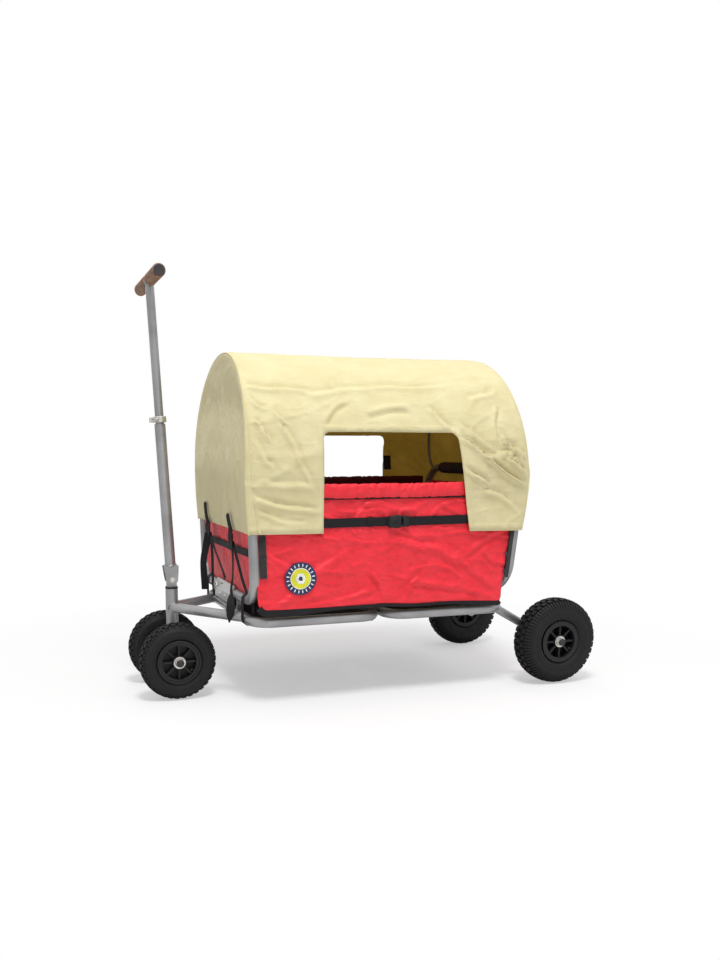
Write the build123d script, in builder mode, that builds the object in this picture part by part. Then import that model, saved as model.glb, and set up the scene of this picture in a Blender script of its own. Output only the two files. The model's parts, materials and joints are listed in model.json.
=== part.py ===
"""Folding wagon with a tubular frame, four air tyres, a fabric basket and an arched canopy.

Millimetres. +X is forward, towards the pull handle, +Y is left and +Z is up. The ground is z = 0.
The origin lies on the ground, midway along the wheels and midway across.
"""

import os
from math import cos, radians, sin, sqrt, tan

from build123d import *

os.makedirs("parts", exist_ok=True)

# Running gear
rear_tyre_radius = 130.0
rear_tyre_width = 80.0
front_tyre_radius = 110.0
front_tyre_width = 65.0
rear_wheel_set_out = 8.0
front_track = 200.0
axle_reach = 179.0
rim_radius = 61.0
barrel_radius = 52.0
rim_wall = 3.0
hub_radius = 19.0
hub_length = 60.0
web_thickness = 6.0
rib_thickness = 5.0
rib_count = 8
axle_radius = 6.0
spacer_wall = 4.0
nut_wall = 3.5
nut_height = 10.0
axle_tip = 1.0

# Base: two closed loops of tube, hinged to each other at the middle
tube_radius = 14.0
slim_tube_radius = 12.5
base_height = 238.0
base_half_length = 386.0
base_bend = 55.0
middle_half_gap = 4.0
floor_thickness = 5.0

# Hoops: one closed loop of tube at each end, hinged to the base
hoop_half_width = 282.0
hoop_overhang = 12.0
hoop_height = 351.0
hoop_bottom_bend = 80.0
hoop_top_bend = 70.0
front_hoop_lean = 2.2
rear_hoop_lean = -6.3
foam_wall = 6.5
foam_end_gap = 17.0

# Hinges of the fold
hinge_above_base_tube = 20.0
hinge_below_hoop_tube = 8.0
hinge_below_middle_tube = 10.0
hoop_hinge_spacing = 240.0
middle_hinge_spacing = 340.0
pin_radius = 3.0
pin_head_wall = 2.5
pin_head_height = 3.0
hoop_lug_wall = 4.0
middle_lug_wall = 6.0
lug_root_inset = 2.0
ear_root_inset = 4.0
lug_thickness = 8.0
ear_thickness = 5.0
side_play = 1.0

# Drawbar and steering
steering_set_back = 6.0
column_radius = 14.5
head_tube_wall = 3.5
head_tube_low = 200.0
head_tube_high = 303.0
drawbar_foot_half_width = 170.0
drawbar_foot_reach = 4.0
drawbar_nose_half_width = 8.0
drawbar_nose_height = 248.0
axle_beam_wall = 6.5
axle_beam_half_length = 62.0
thrust_ring_lip = 0.5
thrust_ring_height = 5.0
thrust_collar_height = 14.0

# Pull handle, measured along the handle from its tilt bolt
tilt_bolt_height = 330.0
tilt_bolt_radius = 4.0
tongue_inset = 0.5
tongue_half_thickness = 10.0
clevis_overhang = 6.0
clevis_plate = 5.0
clevis_height = 27.0
handle_lean = 3.1
upper_tube_radius = 12.25
bore_room = 1.25
lower_tube_wall = 2.0
lower_tube_top = 446.0
clamp_wall = 6.75
clamp_height = 26.0
clamp_lug_reach = 13.0
clamp_thickness = 12.0
lever_length = 44.0
lever_width = 8.7
lever_thickness = 6.5
upper_tube_low = 370.0
plug_height = 15.0
grip_height = 835.0
grip_tube_radius = 11.0
socket_wall = 1.75
socket_overhang = 6.75
sleeve_wall = 7.0
sleeve_end = 152.0
grip_cap_lip = 1.5
grip_cap_length = 4.0

# Rear wheel arms
arm_start_drop = 10.0
arm_start_set_back = 6.0
arm_boss_wall = 10.0
arm_boss_overhang = 1.0
tyre_gap = 5.0

# Canopy: a straight-sided arch, closed at both ends by panels that lean in above its belly
canopy_side_gap = 1.0
canopy_wall = 3.0
canopy_rise = 33.0
canopy_hem = 480.0
canopy_belly_drop = 38.0
canopy_front_room = 2.5
canopy_rear_room = 8.0
canopy_front_skirt = 8.0
canopy_rear_skirt = 22.0
canopy_front_tilt = 19.0
canopy_rear_tilt = 46.0
canopy_crown_margin = 7.0
window_top = 750.0
window_front = 200.0
window_rear_left = -175.0
window_rear_left_low = -248.0
window_rear_right = -250.0
window_corner = 18.0

# Bows under the canopy
bow_radius = 5.0
bow_inset = 19.0
bow_rise = 10.0
bow_foot_bend = 60.0
bow_foot_turn = 64.0
front_bow_lean = -2.2
rear_bow_lean = 6.0

# Fabric basket
panel_thickness = 6.0
panel_offset = 4.0
side_panel_clearance = 10.0
side_panel_corner = 40.0
rim_low = 575.0
rim_high = 615.0
rim_thickness = 16.0
end_panel_thickness = 4.0
front_panel_top = 618.0
rear_panel_top = 596.0
strap_height = 507.0
strap_width = 25.0
strap_thickness = 2.0
buckle_x = -24.0
buckle_length = 62.0
buckle_thickness = 10.0
buckle_width = 34.0

# Latch plate on the front hoop, measured from its bottom tube's middle
latch_half_width = 95.0
latch_low = 34.0
latch_bend = 6.0
latch_high = 22.0
latch_lean = 8.0
latch_plate = 4.5

# Clearances
shaft_play = 0.05
seat_play = 0.02
fabric_gap = 0.3
washer_gap = 0.3

# Places worked out from the sizes above
middle_x = (rear_tyre_radius - front_tyre_radius) / 2
front_hoop_x = middle_x + base_half_length
rear_hoop_x = middle_x - base_half_length
front_axle_x = front_hoop_x + axle_reach
rear_axle_x = rear_hoop_x - axle_reach
steering_x = front_axle_x - steering_set_back
base_half_width = hoop_half_width - hoop_overhang
middle_tube_offset = tube_radius + middle_half_gap
hoop_hinge_height = base_height + tube_radius + hinge_above_base_tube
middle_hinge_height = base_height - tube_radius - hinge_below_middle_tube
hoop_bottom = hoop_hinge_height + tube_radius + hinge_below_hoop_tube
foam_half_length = hoop_half_width - hoop_top_bend - foam_end_gap
hoop_lug_radius = pin_radius + hoop_lug_wall
middle_lug_radius = pin_radius + middle_lug_wall
lug_root_radius = tube_radius - lug_root_inset
head_tube_radius = column_radius + head_tube_wall
tongue_half_length = column_radius - tongue_inset
clevis_half_length = tongue_half_length + clevis_overhang
axle_beam_radius = axle_radius + axle_beam_wall
spacer_radius = axle_radius + spacer_wall
lower_tube_bore = upper_tube_radius + bore_room
lower_tube_radius = lower_tube_bore + lower_tube_wall
clamp_radius = upper_tube_radius + clamp_wall
clamp_reach = clamp_radius + clamp_lug_reach
socket_radius = upper_tube_radius + socket_wall
socket_half_length = upper_tube_radius + socket_overhang
arm_boss_radius = axle_radius + arm_boss_wall
arm_boss_half_length = slim_tube_radius + arm_boss_overhang
rear_track = 2 * (base_half_width + rear_wheel_set_out)
arm_y = rear_track / 2 - rear_tyre_width / 2 - tyre_gap - arm_boss_half_length
canopy_radius = hoop_half_width + tube_radius + canopy_wall + canopy_side_gap
canopy_centre_height = hoop_bottom + hoop_height + canopy_rise
canopy_belly_height = canopy_centre_height - canopy_belly_drop
canopy_front = (
    front_hoop_x + hoop_height * tan(radians(front_hoop_lean))
    + tube_radius + canopy_wall + canopy_front_room
)
canopy_rear = (
    rear_hoop_x + hoop_height * tan(radians(rear_hoop_lean))
    - slim_tube_radius - canopy_wall - canopy_rear_room
)
bow_arch_radius = canopy_radius - bow_inset
bow_arch_height = canopy_centre_height + bow_rise
side_panel_low = base_height + tube_radius + side_panel_clearance
panel_y = hoop_half_width + panel_offset
strap_y = panel_y + panel_thickness / 2 + fabric_gap


def leaning_plane(x, z, lean):
    """A plane across the wagon: local x points left, local y points up the lean."""
    angle = radians(lean)
    return Plane(origin=(x, 0, z), x_dir=(0, 1, 0), z_dir=(cos(angle), 0, -sin(angle)))


front_plane = leaning_plane(front_hoop_x, hoop_bottom, front_hoop_lean)
rear_plane = leaning_plane(rear_hoop_x, hoop_bottom, rear_hoop_lean)


def finish(piece, name):
    """Label a finished piece and write it to its own file."""
    piece.label = name
    export_step(piece, f"parts/{name}.step")


def bar(start, end, radius):
    """A straight round bar between two points."""
    along = Vector(*end) - Vector(*start)
    with BuildPart() as piece:
        with BuildSketch(Plane(origin=start, z_dir=along)):
            Circle(radius)
        extrude(amount=along.length)
    return piece.part


def tube_loop(plane, corners, bends, radius):
    """A closed loop of tube, swept along the corners of its left half and mirrored."""
    with BuildPart() as piece:
        with BuildLine(plane) as path:
            FilletPolyline(*corners, radius=bends)
        with BuildSketch(path.line ^ 0):
            Circle(radius)
        sweep()
        mirror(about=Plane.XZ)
    return piece.part


def lug(root, root_radius, tip, tip_radius, y, thickness, bore):
    """A flat lug around two points of the XZ plane, with its middle at y and a hole at its tip."""
    with BuildPart() as piece:
        with BuildSketch(Plane.XZ.offset(-y - thickness / 2)):
            with Locations(root):
                Circle(root_radius)
            with Locations(tip):
                Circle(tip_radius)
            make_hull()
            with Locations(tip):
                Circle(bore, mode=Mode.SUBTRACT)
        extrude(amount=thickness)
    return piece.part


def hinge_pin(x, y, z):
    """A riveted pin along Y through a lug and its two ears, with its middle at y."""
    half_length = lug_thickness / 2 + side_play + ear_thickness + seat_play
    with BuildPart() as piece:
        with BuildSketch(Plane((x, y, z), x_dir=(1, 0, 0), z_dir=(0, 1, 0))):
            Circle(pin_radius)
        extrude(amount=half_length, both=True)
        for side in (-1, 1):
            head = Plane((x, y + side * half_length, z), x_dir=(1, 0, 0), z_dir=(0, side, 0))
            with BuildSketch(head):
                Circle(pin_radius + pin_head_wall)
            extrude(amount=pin_head_height)
    return piece.part


def nut(x, y, z, side):
    """A hexagon nut on an axle's end, its inner face at y."""
    with BuildPart() as piece:
        with BuildSketch(Plane(origin=(x, y, z), x_dir=(1, 0, 0), z_dir=(0, side, 0))):
            RegularPolygon(axle_radius + nut_wall, 6, major_radius=False)
            Circle(axle_radius + seat_play, mode=Mode.SUBTRACT)
        extrude(amount=nut_height)
    return piece.part


# Base loops
loop_length = base_half_length - middle_tube_offset
loop_corners = [(0, 0), (base_half_width, 0), (base_half_width, loop_length), (0, loop_length)]
front_loop_plane = Plane(
    origin=(middle_x + middle_tube_offset, 0, base_height), x_dir=(0, 1, 0), z_dir=(0, 0, -1)
)
rear_loop_plane = Plane(
    origin=(middle_x - middle_tube_offset, 0, base_height), x_dir=(0, 1, 0), z_dir=(0, 0, 1)
)
front_loop = tube_loop(front_loop_plane, loop_corners, [base_bend, base_bend], tube_radius)
rear_loop = tube_loop(rear_loop_plane, loop_corners, [base_bend, base_bend], tube_radius)
finish(front_loop, "base_loop_front")
finish(rear_loop, "base_loop_rear")

# Hoops
hoop_corners = [
    (0, 0),
    (hoop_half_width, 0),
    (hoop_half_width, hoop_height),
    (0, hoop_height),
]
hoop_bends = [hoop_bottom_bend, hoop_top_bend]
front_hoop = tube_loop(front_plane, hoop_corners, hoop_bends, tube_radius)
rear_hoop = tube_loop(rear_plane, hoop_corners, hoop_bends, slim_tube_radius)
finish(front_hoop, "hoop_front")
finish(rear_hoop, "hoop_rear")

# Floor panels inside the base loops
for end, side in (("front", 1), ("rear", -1)):
    inset = tube_radius + fabric_gap
    floor_x = middle_x + side * (middle_tube_offset + base_half_length) / 2
    with BuildPart() as floor_panel:
        with BuildSketch(Plane((floor_x, 0, base_height))):
            RectangleRounded(
                loop_length - 2 * inset, 2 * (base_half_width - inset), base_bend - inset
            )
        extrude(amount=floor_thickness / 2, both=True)
    finish(floor_panel.part, f"floor_panel_{end}")

# Hinges between the hoops and the base: a lug on the base between two ears on the hoop
ear_offset = lug_thickness / 2 + side_play + ear_thickness / 2
for end, x, loop, hoop in (
    ("front", front_hoop_x, front_loop, front_hoop),
    ("rear", rear_hoop_x, rear_loop, rear_hoop),
):
    axis = (x, hoop_hinge_height)
    lugs = []
    ears = []
    pins = []
    for side in (-1, 1):
        y = side * hoop_hinge_spacing / 2
        root = (x, base_height)
        lugs.append(
            lug(
                root, lug_root_radius, axis, hoop_lug_radius, y, lug_thickness,
                pin_radius + shaft_play,
            )
        )
        for step in (-1, 1):
            ears.append(
                lug(
                    (x, hoop_bottom), tube_radius - ear_root_inset, axis, hoop_lug_radius,
                    y + step * ear_offset, ear_thickness, pin_radius + seat_play,
                )
            )
        pins.append(hinge_pin(x, y, hoop_hinge_height))
    finish(Part(children=[piece - loop for piece in lugs]), f"hoop_lugs_{end}")
    finish(Part(children=[piece - hoop for piece in ears]), f"hoop_ears_{end}")
    finish(Part(children=pins), f"hoop_hinge_pins_{end}")

# Hinge between the two base loops, below their middle tubes
middle_axis = (middle_x, middle_hinge_height)
middle_lugs = []
middle_ears = []
middle_pins = []
for side in (-1, 1):
    y = side * middle_hinge_spacing / 2
    middle_lugs.append(
        lug(
            (middle_x + middle_tube_offset, base_height), lug_root_radius,
            middle_axis, middle_lug_radius, y, lug_thickness, pin_radius + shaft_play,
        )
    )
    for step in (-1, 1):
        middle_ears.append(
            lug(
                (middle_x - middle_tube_offset, base_height), lug_root_radius,
                middle_axis, middle_lug_radius, y + step * ear_offset, ear_thickness,
                pin_radius + seat_play,
            )
        )
    middle_pins.append(hinge_pin(middle_x, y, middle_hinge_height))
finish(Part(children=[piece - front_loop for piece in middle_lugs]), "middle_hinge_lugs")
finish(Part(children=[piece - rear_loop for piece in middle_ears]), "middle_hinge_ears")
finish(Part(children=middle_pins), "middle_hinge_pins")

# Head tube and the drawbar's two legs, welded to the front loop
with BuildPart() as head_tube:
    with BuildSketch(Plane((steering_x, 0, head_tube_low))):
        Circle(head_tube_radius)
        Circle(column_radius + shaft_play, mode=Mode.SUBTRACT)
    extrude(amount=head_tube_high - head_tube_low)
finish(head_tube.part, "head_tube")

head_tube_block = bar(
    (steering_x, 0, head_tube_low), (steering_x, 0, head_tube_high), head_tube_radius
)
legs = [
    bar(
        (front_hoop_x + drawbar_foot_reach, side * drawbar_foot_half_width, base_height),
        (steering_x, side * drawbar_nose_half_width, drawbar_nose_height),
        tube_radius,
    )
    for side in (-1, 1)
]
drawbar = legs[0] + legs[1] - front_loop - head_tube_block
finish(Part(children=[drawbar]), "drawbar_legs")

# Steering column: a shaft in the head tube, a thrust collar below it and a tongue above it
collar_top = head_tube_low - washer_gap
tongue_low = head_tube_high + washer_gap + thrust_ring_height + washer_gap
with BuildPart() as column:
    with BuildSketch(Plane((steering_x, 0, front_tyre_radius))):
        Circle(column_radius)
    extrude(amount=tongue_low - front_tyre_radius)
    with BuildSketch(Plane((steering_x, 0, collar_top))):
        Circle(head_tube_radius)
    extrude(amount=-thrust_collar_height)
    with BuildSketch(Plane.XZ):
        with Locations((steering_x, tilt_bolt_height)):
            Circle(tongue_half_length)
        with Locations((steering_x, (tongue_low + tilt_bolt_height) / 2)):
            Rectangle(2 * tongue_half_length, tilt_bolt_height - tongue_low)
    extrude(amount=tongue_half_thickness, both=True)
    with BuildSketch(Plane.XZ):
        with Locations((steering_x, tilt_bolt_height)):
            Circle(tilt_bolt_radius + shaft_play)
    extrude(amount=tongue_half_thickness, both=True, mode=Mode.SUBTRACT)
axle_beam = bar(
    (front_axle_x, -axle_beam_half_length, front_tyre_radius),
    (front_axle_x, axle_beam_half_length, front_tyre_radius),
    axle_beam_radius,
)
finish(column.part - axle_beam, "steering_column")

with BuildPart() as thrust_ring:
    with BuildSketch(Plane((steering_x, 0, head_tube_high + washer_gap))):
        Circle(head_tube_radius + thrust_ring_lip)
        Circle(column_radius + seat_play, mode=Mode.SUBTRACT)
    extrude(amount=thrust_ring_height)
finish(thrust_ring.part, "thrust_ring")

# Front axle: a bar through the beam's ends, with a nut outside each wheel
front_axle_end = front_track / 2 + hub_length / 2 + washer_gap + nut_height + axle_tip
front_axle = bar(
    (front_axle_x, -front_axle_end, front_tyre_radius),
    (front_axle_x, front_axle_end, front_tyre_radius),
    axle_radius,
)
front_axle_bore = bar(
    (front_axle_x, -axle_beam_half_length, front_tyre_radius),
    (front_axle_x, axle_beam_half_length, front_tyre_radius),
    axle_radius + seat_play,
)
front_spacers = [
    bar(
        (front_axle_x, side * (axle_beam_half_length + seat_play), front_tyre_radius),
        (front_axle_x, side * (front_track / 2 - hub_length / 2 - washer_gap), front_tyre_radius),
        spacer_radius,
    )
    for side in (-1, 1)
]
finish(axle_beam - front_axle_bore, "axle_beam")
finish(front_axle + front_spacers, "front_axle")
finish(
    Part(
        children=[
            nut(
                front_axle_x, side * (front_track / 2 + hub_length / 2 + washer_gap),
                front_tyre_radius, side,
            )
            for side in (-1, 1)
        ]
    ),
    "front_axle_nuts",
)

# Rear wheel arms, each with a boss that holds a stub axle
arms = []
stubs = []
rear_nuts = []
for side in (-1, 1):
    y = side * arm_y
    boss_ends = [y - side * arm_boss_half_length, y + side * arm_boss_half_length]
    boss = bar(
        (rear_axle_x, boss_ends[0], rear_tyre_radius),
        (rear_axle_x, boss_ends[1], rear_tyre_radius),
        arm_boss_radius,
    )
    leg = bar(
        (rear_hoop_x - arm_start_set_back, y, base_height - arm_start_drop),
        (rear_axle_x, y, rear_tyre_radius),
        slim_tube_radius,
    )
    bore = bar(
        (rear_axle_x, boss_ends[0], rear_tyre_radius),
        (rear_axle_x, boss_ends[1], rear_tyre_radius),
        axle_radius + seat_play,
    )
    arms.append(leg + boss - bore - rear_loop)
    hub_inner = side * (rear_track / 2 - hub_length / 2 - washer_gap)
    hub_outer = side * (rear_track / 2 + hub_length / 2 + washer_gap)
    stub = bar(
        (rear_axle_x, boss_ends[0], rear_tyre_radius),
        (rear_axle_x, hub_outer + side * nut_height, rear_tyre_radius),
        axle_radius,
    )
    spacer = bar(
        (rear_axle_x, boss_ends[1] + side * seat_play, rear_tyre_radius),
        (rear_axle_x, hub_inner, rear_tyre_radius),
        spacer_radius,
    )
    stubs.append(stub + spacer)
    rear_nuts.append(nut(rear_axle_x, hub_outer, rear_tyre_radius, side))
finish(Part(children=arms), "rear_wheel_arms")
finish(Part(children=stubs), "rear_stub_axles")
finish(Part(children=rear_nuts), "rear_axle_nuts")


def rim(x, y, tyre_radius, tyre_width):
    """A moulded rim: hub, web, ribs and a barrel with two flanges, turned about the axle."""
    half_hub = hub_length / 2
    half_width = tyre_width / 2 - 2 * rim_wall
    wheel_plane = Plane((x, y, tyre_radius), x_dir=(0, 1, 0), z_dir=(1, 0, 0))
    face_plane = Plane((x, y, tyre_radius), x_dir=(1, 0, 0), z_dir=(0, 1, 0))
    with BuildPart() as piece:
        with BuildSketch(wheel_plane):
            with BuildLine():
                Polyline(
                    (-half_hub, axle_radius + shaft_play),
                    (half_hub, axle_radius + shaft_play),
                    (half_hub, hub_radius),
                    (web_thickness / 2, hub_radius),
                    (web_thickness / 2, barrel_radius - rim_wall),
                    (half_width, barrel_radius - rim_wall),
                    (half_width, rim_radius),
                    (half_width - rim_wall, rim_radius),
                    (half_width - rim_wall, barrel_radius),
                    (rim_wall - half_width, barrel_radius),
                    (rim_wall - half_width, rim_radius),
                    (-half_width, rim_radius),
                    (-half_width, barrel_radius - rim_wall),
                    (-web_thickness / 2, barrel_radius - rim_wall),
                    (-web_thickness / 2, hub_radius),
                    (-half_hub, hub_radius),
                    close=True,
                )
            make_face()
        revolve(axis=Axis((x, y, tyre_radius), (0, 1, 0)))
        rib_reach = barrel_radius - rim_wall / 2 - hub_radius
        with BuildSketch(face_plane):
            with PolarLocations(hub_radius - 1 + rib_reach / 2, rib_count):
                Rectangle(rib_reach, rib_thickness)
        extrude(amount=half_width - 2 * rim_wall, both=True)
    return piece.part


def tyre(x, y, tyre_radius, tyre_width):
    """An air tyre: a closed ring that fills the rim between its flanges and bulges past them."""
    bead = tyre_width / 2 - 3 * rim_wall - shaft_play
    wall_start = tyre_width / 2 - 2 * rim_wall + shaft_play
    half_width = tyre_width / 2
    shoulder = tyre_radius - tyre_width / 9
    wheel_plane = Plane((x, y, tyre_radius), x_dir=(0, 1, 0), z_dir=(1, 0, 0))
    with BuildPart() as piece:
        with BuildSketch(wheel_plane):
            with BuildLine():
                Polyline(
                    (-wall_start, rim_radius + shaft_play),
                    (-bead, rim_radius + shaft_play),
                    (-bead, barrel_radius + shaft_play),
                    (bead, barrel_radius + shaft_play),
                    (bead, rim_radius + shaft_play),
                    (wall_start, rim_radius + shaft_play),
                )
                for side in (-1, 1):
                    ThreePointArc(
                        (side * wall_start, rim_radius + shaft_play),
                        (side * half_width, (rim_radius + shoulder) / 2),
                        (side * wall_start, shoulder),
                    )
                ThreePointArc((-wall_start, shoulder), (0, tyre_radius), (wall_start, shoulder))
            make_face()
        revolve(axis=Axis((x, y, tyre_radius), (0, 1, 0)))
    return piece.part


for end, x, track, radius, width in (
    ("front", front_axle_x, front_track, front_tyre_radius, front_tyre_width),
    ("rear", rear_axle_x, rear_track, rear_tyre_radius, rear_tyre_width),
):
    for hand, side in (("left", 1), ("right", -1)):
        finish(rim(x, side * track / 2, radius, width), f"rim_{end}_{hand}")
        finish(tyre(x, side * track / 2, radius, width), f"tyre_{end}_{hand}")

# Pull handle, modelled along its own leaning axis from the tilt bolt
lean = radians(handle_lean)
handle = Plane(
    origin=(steering_x, 0, tilt_bolt_height),
    x_dir=(cos(lean), 0, -sin(lean)),
    z_dir=(sin(lean), 0, cos(lean)),
)
side_view = Plane(origin=handle.origin, x_dir=handle.x_dir, z_dir=(0, -1, 0))
plate_inner = tongue_half_thickness + fabric_gap
plate_outer = plate_inner + clevis_plate
with BuildPart() as clevis:
    with BuildSketch(side_view):
        Circle(tongue_half_length)
        with Locations((0, clevis_height - clevis_plate)):
            Rectangle(2 * clevis_half_length, 2 * clevis_plate)
        make_hull()
    extrude(amount=plate_outer, both=True)
    with BuildSketch(side_view):
        with Locations((0, clevis_height / 2 - clevis_plate / 2 - tongue_half_length)):
            Rectangle(
                3 * clevis_half_length,
                clevis_height - clevis_plate + 2 * tongue_half_length,
            )
    extrude(amount=plate_inner, both=True, mode=Mode.SUBTRACT)
    with BuildSketch(side_view):
        Circle(tilt_bolt_radius + seat_play)
    extrude(amount=plate_outer, both=True, mode=Mode.SUBTRACT)
finish(clevis.part, "handle_clevis")

with BuildPart() as tilt_bolt:
    with BuildSketch(side_view):
        Circle(tilt_bolt_radius)
    extrude(amount=plate_outer + seat_play, both=True)
    for side in (-1, 1):
        head = Plane(
            origin=handle.origin + Vector(0, side * (plate_outer + seat_play), 0),
            x_dir=(1, 0, 0),
            z_dir=(0, side, 0),
        )
        with BuildSketch(head):
            RegularPolygon(2 * tilt_bolt_radius, 6)
        extrude(amount=tilt_bolt_radius)
finish(tilt_bolt.part, "tilt_bolt")

with BuildPart() as lower_tube:
    with BuildSketch(handle.offset(clevis_height)):
        Circle(lower_tube_radius)
        Circle(lower_tube_bore, mode=Mode.SUBTRACT)
    extrude(amount=lower_tube_top - clevis_height)
finish(lower_tube.part, "pull_tube_lower")

with BuildPart() as clamp:
    with BuildSketch(handle.offset(lower_tube_top)):
        Circle(clamp_radius)
        with Locations((clamp_reach / 2, 0)):
            Rectangle(clamp_reach, clamp_thickness)
        Circle(upper_tube_radius + shaft_play, mode=Mode.SUBTRACT)
    extrude(amount=clamp_height)
finish(clamp.part, "telescope_clamp")

lever_plane = handle.offset(lower_tube_top + clamp_height / 2 - lever_thickness / 2)
with BuildPart() as lever:
    with BuildSketch(lever_plane):
        with Locations((clamp_reach - lever_width, (clamp_thickness + lever_length) / 2)):
            RectangleRounded(lever_width, lever_length - seat_play, lever_width / 3)
    extrude(amount=lever_thickness)
finish(lever.part, "clamp_lever")

with BuildPart() as upper_tube:
    with BuildSketch(handle.offset(upper_tube_low)):
        Circle(lower_tube_bore - shaft_play)
    extrude(amount=plug_height)
    with BuildSketch(handle.offset(upper_tube_low)):
        Circle(upper_tube_radius)
    extrude(amount=grip_height - upper_tube_low)

grip_centre = handle.origin + handle.z_dir * grip_height


def grip_disc(y, side, radius, length, bore=0.0):
    """A round piece on the grip's axis, from y outwards on one side."""
    with BuildPart() as piece:
        plane = Plane(grip_centre + Vector(0, y, 0), x_dir=(1, 0, 0), z_dir=(0, side, 0))
        with BuildSketch(plane):
            Circle(radius)
            if bore:
                Circle(bore, mode=Mode.SUBTRACT)
        extrude(amount=length)
    return piece.part


socket = grip_disc(
    -socket_half_length, 1, socket_radius, 2 * socket_half_length
)
crossbar = grip_disc(-sleeve_end, 1, grip_tube_radius, 2 * sleeve_end)
finish(upper_tube.part - socket, "pull_tube_upper")
finish(crossbar + socket, "grip_crossbar")
sleeve_length = sleeve_end - socket_half_length - fabric_gap
finish(
    Part(
        children=[
            grip_disc(
                side * (socket_half_length + fabric_gap), side,
                grip_tube_radius + sleeve_wall,
                sleeve_length, grip_tube_radius + seat_play,
            )
            for side in (-1, 1)
        ]
    ),
    "grip_sleeves",
)
finish(
    Part(
        children=[
            grip_disc(
                side * (sleeve_end + seat_play), side,
                grip_tube_radius + grip_cap_lip, grip_cap_length,
            )
            for side in (-1, 1)
        ]
    ),
    "grip_caps",
)

# Foam on the rear hoop's top tube, used as a push bar
push_bar = rear_plane.origin + rear_plane.y_dir * hoop_height
with BuildPart() as foam:
    with BuildSketch(Plane(push_bar - Vector(0, foam_half_length, 0), z_dir=(0, 1, 0))):
        Circle(slim_tube_radius + foam_wall)
        Circle(slim_tube_radius + seat_play, mode=Mode.SUBTRACT)
    extrude(amount=2 * foam_half_length)
finish(foam.part, "push_bar_foam")

# Bows: arches whose feet bend inwards and end on the hoops' top corners
foot_turn = radians(bow_foot_turn)
foot_rise = bow_foot_bend * sin(foot_turn)
foot_height = bow_arch_height - foot_rise


def bow(hoop_plane, hoop_lean, bow_lean, hoop):
    """One bow, rising from its hoop's top corners on a lean of its own."""
    foot_x = hoop_plane.origin.X + (foot_height - hoop_bottom) * tan(radians(hoop_lean))
    half = foot_turn / 2
    with BuildPart() as piece:
        with BuildLine(leaning_plane(foot_x, foot_height, bow_lean)) as path:
            ThreePointArc(
                (bow_arch_radius - bow_foot_bend * (1 - cos(foot_turn)), 0),
                (
                    bow_arch_radius - bow_foot_bend * (1 - cos(half)),
                    foot_rise - bow_foot_bend * sin(half),
                ),
                (bow_arch_radius, foot_rise),
            )
            ThreePointArc(
                (bow_arch_radius, foot_rise),
                (bow_arch_radius / sqrt(2), foot_rise + bow_arch_radius / sqrt(2)),
                (0, foot_rise + bow_arch_radius),
            )
        with BuildSketch(path.line ^ 0):
            Circle(bow_radius)
        sweep()
        mirror(about=Plane.XZ)
    return piece.part - hoop


finish(bow(front_plane, front_hoop_lean, front_bow_lean, front_hoop), "bow_front")
finish(bow(rear_plane, rear_hoop_lean, rear_bow_lean, rear_hoop), "bow_rear")


def canopy_body(inset):
    """The canopy's outer shape, or its inner one when inset by the cloth's thickness."""
    radius = canopy_radius - inset
    low = canopy_hem - inset
    high = canopy_centre_height + canopy_radius + canopy_crown_margin
    fore = (
        (canopy_front - canopy_front_skirt - inset, low),
        (canopy_front - inset, canopy_belly_height),
        (canopy_front - canopy_front_tilt - inset, high),
    )
    aft = (
        (canopy_rear + canopy_rear_tilt + inset, high),
        (canopy_rear + inset, canopy_belly_height),
        (canopy_rear + canopy_rear_skirt + inset, low),
    )
    with BuildPart() as body:
        with BuildSketch(Plane.YZ):
            with Locations((0, canopy_centre_height)):
                Circle(radius)
            with Locations((0, (canopy_centre_height + low) / 2)):
                Rectangle(2 * radius, canopy_centre_height - low)
        extrude(amount=front_axle_x - rear_axle_x, both=True)
        with BuildSketch(Plane.XZ):
            with BuildLine():
                Polyline(*fore, *aft, close=True)
            make_face()
        extrude(amount=canopy_radius, both=True, mode=Mode.INTERSECT)
    return body.part


def window(side, rear_top, rear_low):
    """The cut of one side window, open at the hem, with rounded top corners."""
    with BuildPart() as cut:
        with BuildSketch(Plane.XZ):
            with BuildLine():
                Polyline(
                    (middle_x + rear_low, canopy_hem - 2 * canopy_wall),
                    (middle_x + window_front, canopy_hem - 2 * canopy_wall),
                    (middle_x + window_front, window_top),
                    (middle_x + rear_top, window_top),
                    close=True,
                )
            make_face()
            fillet(vertices().group_by(Axis.Z)[-1], window_corner)
        extrude(amount=-side * 2 * canopy_radius)
    return cut.part


canopy = canopy_body(0) - canopy_body(canopy_wall)
canopy -= window(1, window_rear_left, window_rear_left_low)
canopy -= window(-1, window_rear_right, window_rear_right)
finish(canopy, "canopy")


def hoop_edge(x, z, lean, radius, side):
    """Where a side panel ends at height z, beside an upright of a hoop."""
    upright = x + (z - hoop_bottom) * tan(radians(lean))
    return upright - side * (radius / cos(radians(lean)) + fabric_gap)


def side_outline(low, high):
    """A side panel's four corners between the two hoops."""
    return [
        (hoop_edge(rear_hoop_x, low, rear_hoop_lean, slim_tube_radius, -1), low),
        (hoop_edge(front_hoop_x, low, front_hoop_lean, tube_radius, 1), low),
        (hoop_edge(front_hoop_x, high, front_hoop_lean, tube_radius, 1), high),
        (hoop_edge(rear_hoop_x, high, rear_hoop_lean, slim_tube_radius, -1), high),
    ]


def side_sheet(low, high, y, thickness, corner=0.0):
    """A flat sheet between the hoops with its middle at y."""
    with BuildPart() as sheet:
        with BuildSketch(Plane.XZ.offset(-y - thickness / 2)):
            with BuildLine():
                Polyline(*side_outline(low, high), close=True)
            make_face()
            if corner:
                fillet(vertices().group_by(Axis.Z)[0], corner)
        extrude(amount=thickness)
    return sheet.part


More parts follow.
